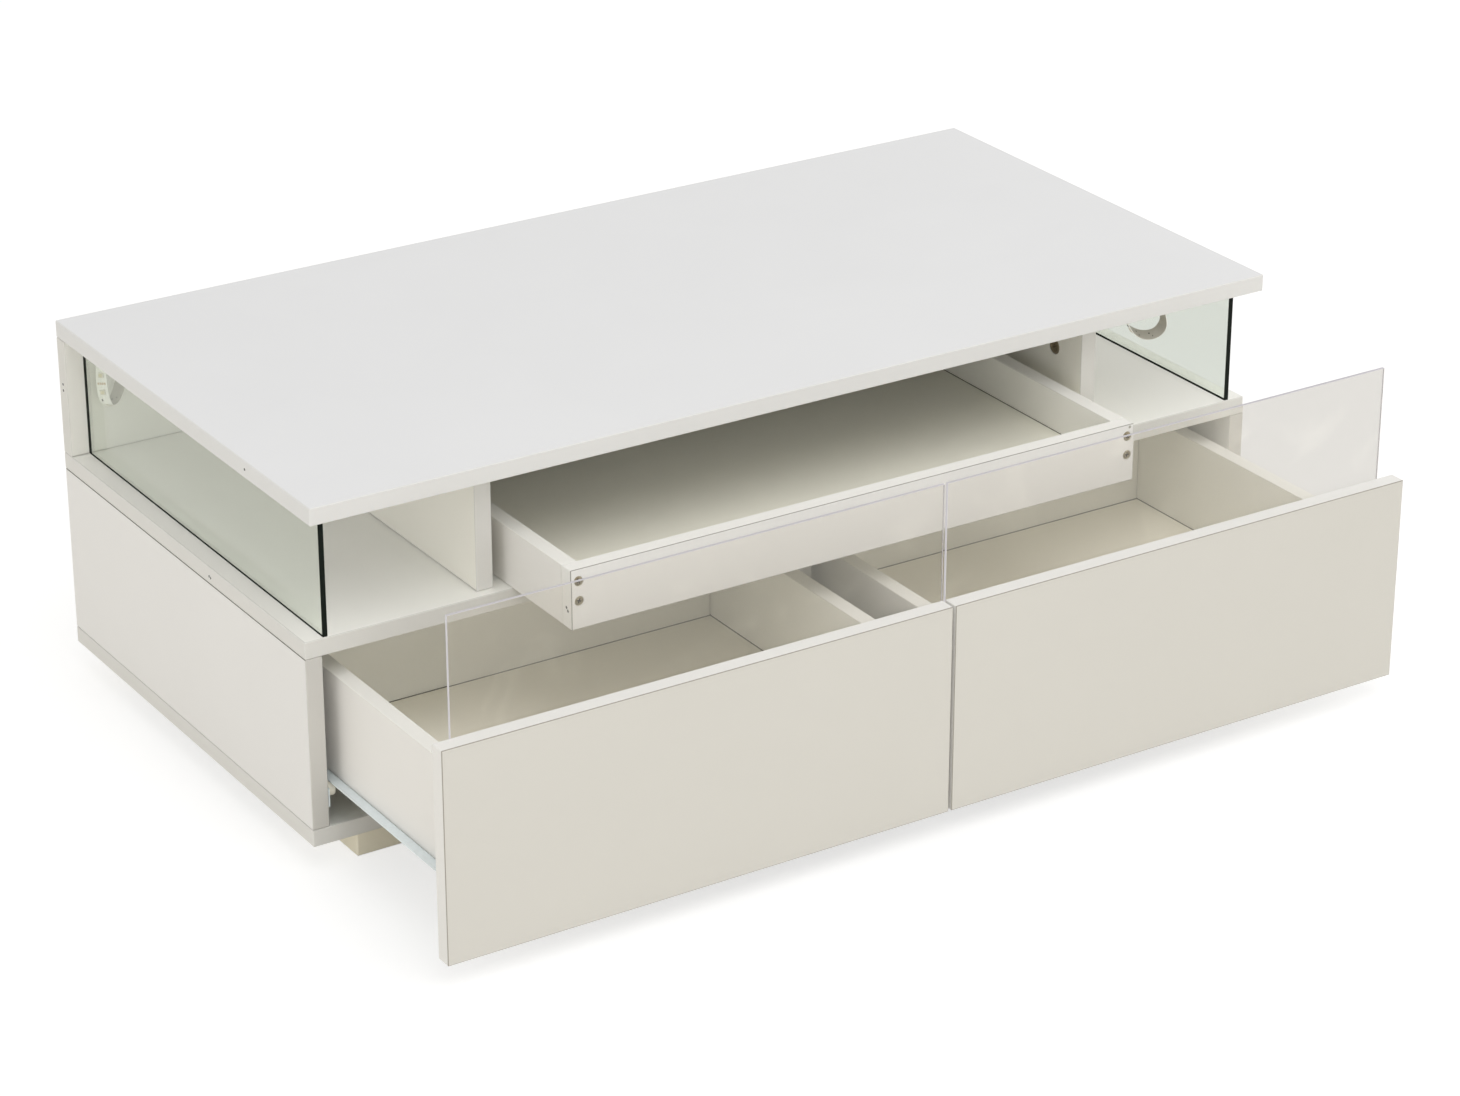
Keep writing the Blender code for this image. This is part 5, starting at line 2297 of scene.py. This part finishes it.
    def _fit_lamps(self, finishes: Finishes) -> None:
        """The lamps along the strip, each a square body with a round window.

        Args:
            finishes: The table's finishes.
        """
        bm = bmesh.new()
        window = [(self.window_radius * wide, rise) for wide, rise in self.window_shape]
        middle = Matrix.Translation((0, 0, self.thickness / 2 + self.lamp_size[2] / 2))
        top = Matrix.Translation((0, 0, self.thickness / 2 + self.lamp_size[2]))
        for matrix in self._stations(self.pitch * 0.5):
            Shop.block(bm, self.lamp_size, matrix @ middle, self.lamp_edge)
            known = set(bm.faces)
            Shop.turn(bm, window, matrix @ top, self.window_sides)
            for face in bm.faces:
                if face not in known:
                    face.material_index = 1
        made = Shop.place(f"{self.stem}_lamps", bm)
        Shop.smooth(made)
        lamp, phosphor = finishes.lamp.material(self.stem), finishes.phosphor.material(self.stem)
        Shop.finish(made, "carcass", "strip_white", lamp, phosphor)

    def _fit_small_parts(self, finishes: Finishes) -> None:
        """The resistors between the lamps, the pads at the cutting marks, and those on the back.

        Args:
            finishes: The table's finishes.
        """
        bm = bmesh.new()
        rise = self.thickness / 2
        for index, matrix in enumerate(self._stations(self.pitch)):
            if index % 3 == 2:
                for aside in self.pads_aside:
                    spot = matrix @ Matrix.Translation((0, aside, rise + self.pad_size[2] / 2))
                    for face in Shop.block(bm, self.pad_size, spot, self.pad_edge):
                        face.material_index = 1
            else:
                lift = rise + self.resistor_size[2] / 2
                spot = matrix @ Matrix.Translation((0, self.resistor_aside, lift))
                Shop.block(bm, self.resistor_size, spot, self.resistor_edge)
            for aside in self.backs_aside:
                lift = -rise - self.back_size[2] / 4
                spot = matrix @ Matrix.Translation((aside, aside, lift))
                Shop.block(bm, self.back_size, spot, self.back_edge)
        made = Shop.place(f"{self.stem}_resistors_and_pads", bm)
        black, tinned = finishes.resistor.material(self.stem), finishes.copper.material(self.stem)
        Shop.finish(made, "carcass", "strip_white", black, tinned)


@dataclass
class LightController:
    """The control box of the lights, behind the tray."""

    node: str = "light_controller"
    lid: float = 1.2 * MM
    lid_sink: float = 0.2 * MM
    lid_margin: float = 4 * MM
    lid_edge: float = 0.5 * MM
    socket_radius: float = 4.5 * MM
    socket_depth: float = 2.5 * MM
    socket_shape: tuple[Span, ...] = ((0.55, 1.6 * MM), (0.9, 1.6 * MM), (1, 1.2 * MM))
    first_turn: float = 0.3
    screw_inset: float = 7 * MM
    screw: CrossScrew = CrossScrew(
        head_radius=2.2 * MM,
        cone=0.5 * MM,
        shank_radius=1 * MM,
        length=3 * MM,
        recess_width=0.6 * MM,
        recess_reach=1.3 * MM,
        recess_depth=0.4 * MM,
        proud=0.3 * MM,
        steps=28,
    )

    def build(self, finishes: Finishes) -> None:
        """Dresses the box and adds its lid, its socket and two lid screws.

        Args:
            finishes: The table's finishes.
        """
        Shop.dress(self.node, finishes.moulding.material(self.node))
        low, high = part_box(self.node)
        middle = (low + high) / 2
        size = high - low
        bm = bmesh.new()
        plate = (size.x - 2 * self.lid_margin, self.lid, size.z - 2 * self.lid_margin)
        spot = Matrix.Translation((middle.x, low.y - self.lid / 2 + self.lid_sink, middle.z))
        Shop.block(bm, plate, spot, self.lid_edge)
        lid = Shop.place("light_controller_lid", bm)
        Shop.smooth(lid)
        Shop.finish(lid, "carcass", "controller_white", finishes.moulding.material("lid"))
        plug = bmesh.new()
        mouth = [(self.socket_radius * wide, rise) for wide, rise in self.socket_shape]
        ring: Profile = [
            (mouth[0][0], -self.socket_depth),
            *mouth,
            (self.socket_radius, -self.socket_depth),
        ]
        Shop.turn(plug, ring, facing((high.x, middle.y, middle.z), (1, 0, 0)))
        socket = Shop.place("light_controller_socket", plug)
        Shop.smooth(socket)
        Shop.finish(socket, "carcass", "controller_white", finishes.resistor.material("socket"))
        metal = finishes.steel.material("lid_screws")
        recess = finishes.recess.material("lid_screws")
        face = low.y - self.lid + self.lid_sink
        for index, sign in enumerate((-1, 1)):
            x = middle.x + sign * (plate[0] / 2 - self.screw_inset)
            stand = facing((x, face, middle.z), (0, -1, 0))
            turned = self.first_turn + index
            screw = self.screw.build(f"light_controller_screw_{index + 1}", stand, turned)
            Shop.finish(screw, "carcass", "screw_steel", metal, recess)


@dataclass(frozen=True)
class Softbox:
    """One soft square lamp: where it hangs, the length of its sides, its watts and its colour."""

    name: str
    place: Point
    size: float
    power: float
    colour: Colour


@dataclass
class Studio:
    """The camera, the lamps, the world and the floor."""

    camera_place: Point = (-1.91537, -3.00518, 1.76658)
    camera_turn: Point = (65.42418, 0.00442, -32.51917)
    lens: float = 104.652
    sensor: float = 36.0
    sight: float = 200.0
    aim: Point = (0, 0.05, 0.2)
    softboxes: tuple[Softbox, ...] = (
        Softbox("high_softbox", (-0.3, -2.2, 4.3), 3.6, 64, (1.0, 0.995, 0.985)),
        Softbox("low_softbox", (-0.9, -3.2, 0.5), 1.0, 8, (1.0, 0.99, 0.97)),
        Softbox("left_softbox", (-4.2, -0.8, 1.3), 2.6, 17, (1.0, 0.99, 0.975)),
        Softbox("right_softbox", (4.2, -0.8, 1.6), 2.6, 48, (1.0, 0.99, 0.975)),
    )
    world_strength: float = 0.68
    world_through: float = 0.5
    world_tint: Colour = (1.0, 0.985, 0.955)
    floor_half: float = 60.0
    floor_drop: float = 0.5 * MM
    floor_colour: Colour = display(249, 247, 242)
    floor_seen: Colour = display(176, 176, 176)
    floor_glow: float = 0.66
    floor_through: float = 0.6

    def set_camera(self) -> None:
        """Puts the camera where the photograph was taken from."""
        data = bpy.data.cameras.new("camera")
        data.lens = self.lens
        data.sensor_width = self.sensor
        data.sensor_fit = "HORIZONTAL"
        data.clip_end = self.sight
        camera = bpy.data.objects.new("camera", data)
        camera.location = self.camera_place
        camera.rotation_euler = Euler([math.radians(angle) for angle in self.camera_turn])
        bpy.context.scene.collection.objects.link(camera)
        bpy.context.scene.camera = camera

    def add_lamps(self) -> None:
        """The soft lamps, which all look at the table."""
        for box in self.softboxes:
            data = bpy.data.lights.new(box.name, "AREA")
            data.shape = "SQUARE"
            data.size = box.size
            data.energy = box.power
            data.color = box.colour
            lamp = bpy.data.objects.new(box.name, data)
            lamp.location = box.place
            sight = Vector(self.aim) - Vector(box.place)
            lamp.rotation_euler = sight.to_track_quat("-Z", "Y").to_euler()
            bpy.context.scene.collection.objects.link(lamp)

    def build_world(self) -> None:
        """A white world that is dimmer as a light and through the panes."""
        world = bpy.data.worlds.new("white_surround")
        bpy.context.scene.world = world
        world.use_nodes = True
        graph = Graph(world.node_tree)
        output = graph.node("ShaderNodeOutputWorld")
        back = graph.node("ShaderNodeBackground")
        path = graph.node("ShaderNodeLightPath")
        through = graph.maths("MULTIPLY", path.outputs["Is Transmission Ray"], self.world_through)
        seen = graph.maths("MAXIMUM", path.outputs["Is Camera Ray"], through)
        seen = graph.maths("MAXIMUM", seen, path.outputs["Is Glossy Ray"])
        graph.feed(back.inputs["Color"], graph.mix(seen, self.world_tint, WHITE))
        base = self.world_strength
        graph.feed(back.inputs["Strength"], graph.maths("MULTIPLY_ADD", seen, 1 - base, base))
        graph.feed(output.inputs["Surface"], back.outputs[0])

    def build_floor(self) -> None:
        """A pale floor that shows white and still takes the table's shadow."""
        bm = bmesh.new()
        bmesh.ops.create_grid(bm, x_segments=6, y_segments=6, size=self.floor_half)
        floor = Shop.place("studio_floor", bm)
        floor.location.z = -self.floor_drop
        material = bpy.data.materials.new("studio_floor")
        material.use_nodes = True
        graph = Graph(material.node_tree)
        output = graph.node("ShaderNodeOutputMaterial")
        path = graph.node("ShaderNodeLightPath")
        looked, passed = path.outputs["Is Camera Ray"], path.outputs["Is Transmission Ray"]
        seen = graph.maths("MAXIMUM", looked, passed)
        matt = graph.node("ShaderNodeBsdfDiffuse")
        graph.feed(matt.inputs["Color"], graph.mix(seen, self.floor_colour, self.floor_seen))
        glow = graph.node("ShaderNodeEmission")
        through = graph.maths("MULTIPLY", passed, self.floor_through)
        share = graph.maths("MAXIMUM", looked, through)
        graph.feed(glow.inputs["Strength"], graph.maths("MULTIPLY", share, self.floor_glow))
        both = graph.node("ShaderNodeAddShader")
        graph.feed(both.inputs[0], matt.outputs[0])
        graph.feed(both.inputs[1], glow.outputs[0])
        graph.feed(output.inputs["Surface"], both.outputs[0])
        floor.data.materials.append(material)

    def build(self) -> None:
        """Sets up everything round the table."""
        self.set_camera()
        self.add_lamps()
        self.build_world()
        self.build_floor()
        bpy.context.scene.view_settings.view_transform = "Standard"


@dataclass
class CoffeeTable:
    """The whole table."""

    finishes: Finishes = field(default_factory=Finishes)
    carcass: TableCarcass = field(default_factory=TableCarcass)
    drawers: tuple[WideDrawer, ...] = (WideDrawer(Side.LEFT), WideDrawer(Side.RIGHT))
    tray: CentreTray = field(default_factory=CentreTray)
    controller: LightController = field(default_factory=LightController)
    strips: tuple[LightStrip, ...] = (
        LightStrip(
            Side.LEFT,
            start_x=-336 * MM,
            end_x=-477.2 * MM,
            loop_x=-453 * MM,
            half=13 * MM,
            drop=63 * MM,
            swing=8 * MM,
            turn=0.36,
            twist=0.0,
            flare=1.1,
            y=326.5 * MM,
            lamps_face=Facing.OUT,
        ),
        LightStrip(
            Side.RIGHT,
            start_x=336 * MM,
            end_x=470.5 * MM,
            loop_x=377 * MM,
            half=22 * MM,
            drop=28.5 * MM,
            swing=13 * MM,
            turn=0.0,
            twist=1.0,
            flare=0.0,
            y=-117.5 * MM,
            lamps_face=Facing.IN,
        ),
    )

    def build(self) -> None:
        """Builds each sub-assembly in order."""
        steps: tuple[tuple[str, Callable[[Finishes], None]], ...] = (
            ("carcass", self.carcass.build),
            ("left drawer", self.drawers[0].build),
            ("right drawer", self.drawers[1].build),
            ("tray", self.tray.build),
            ("left light strip", self.strips[0].build),
            ("right light strip", self.strips[1].build),
            ("light controller", self.controller.build),
        )
        for label, step in steps:
            LOG.info("building the %s", label)
            step(self.finishes)


def main() -> None:
    """Builds the studio and the table."""
    logging.basicConfig(level=logging.INFO, format="%(name)s: %(message)s")
    Studio().build()
    CoffeeTable().build()


if __name__ == "__main__":
    main()
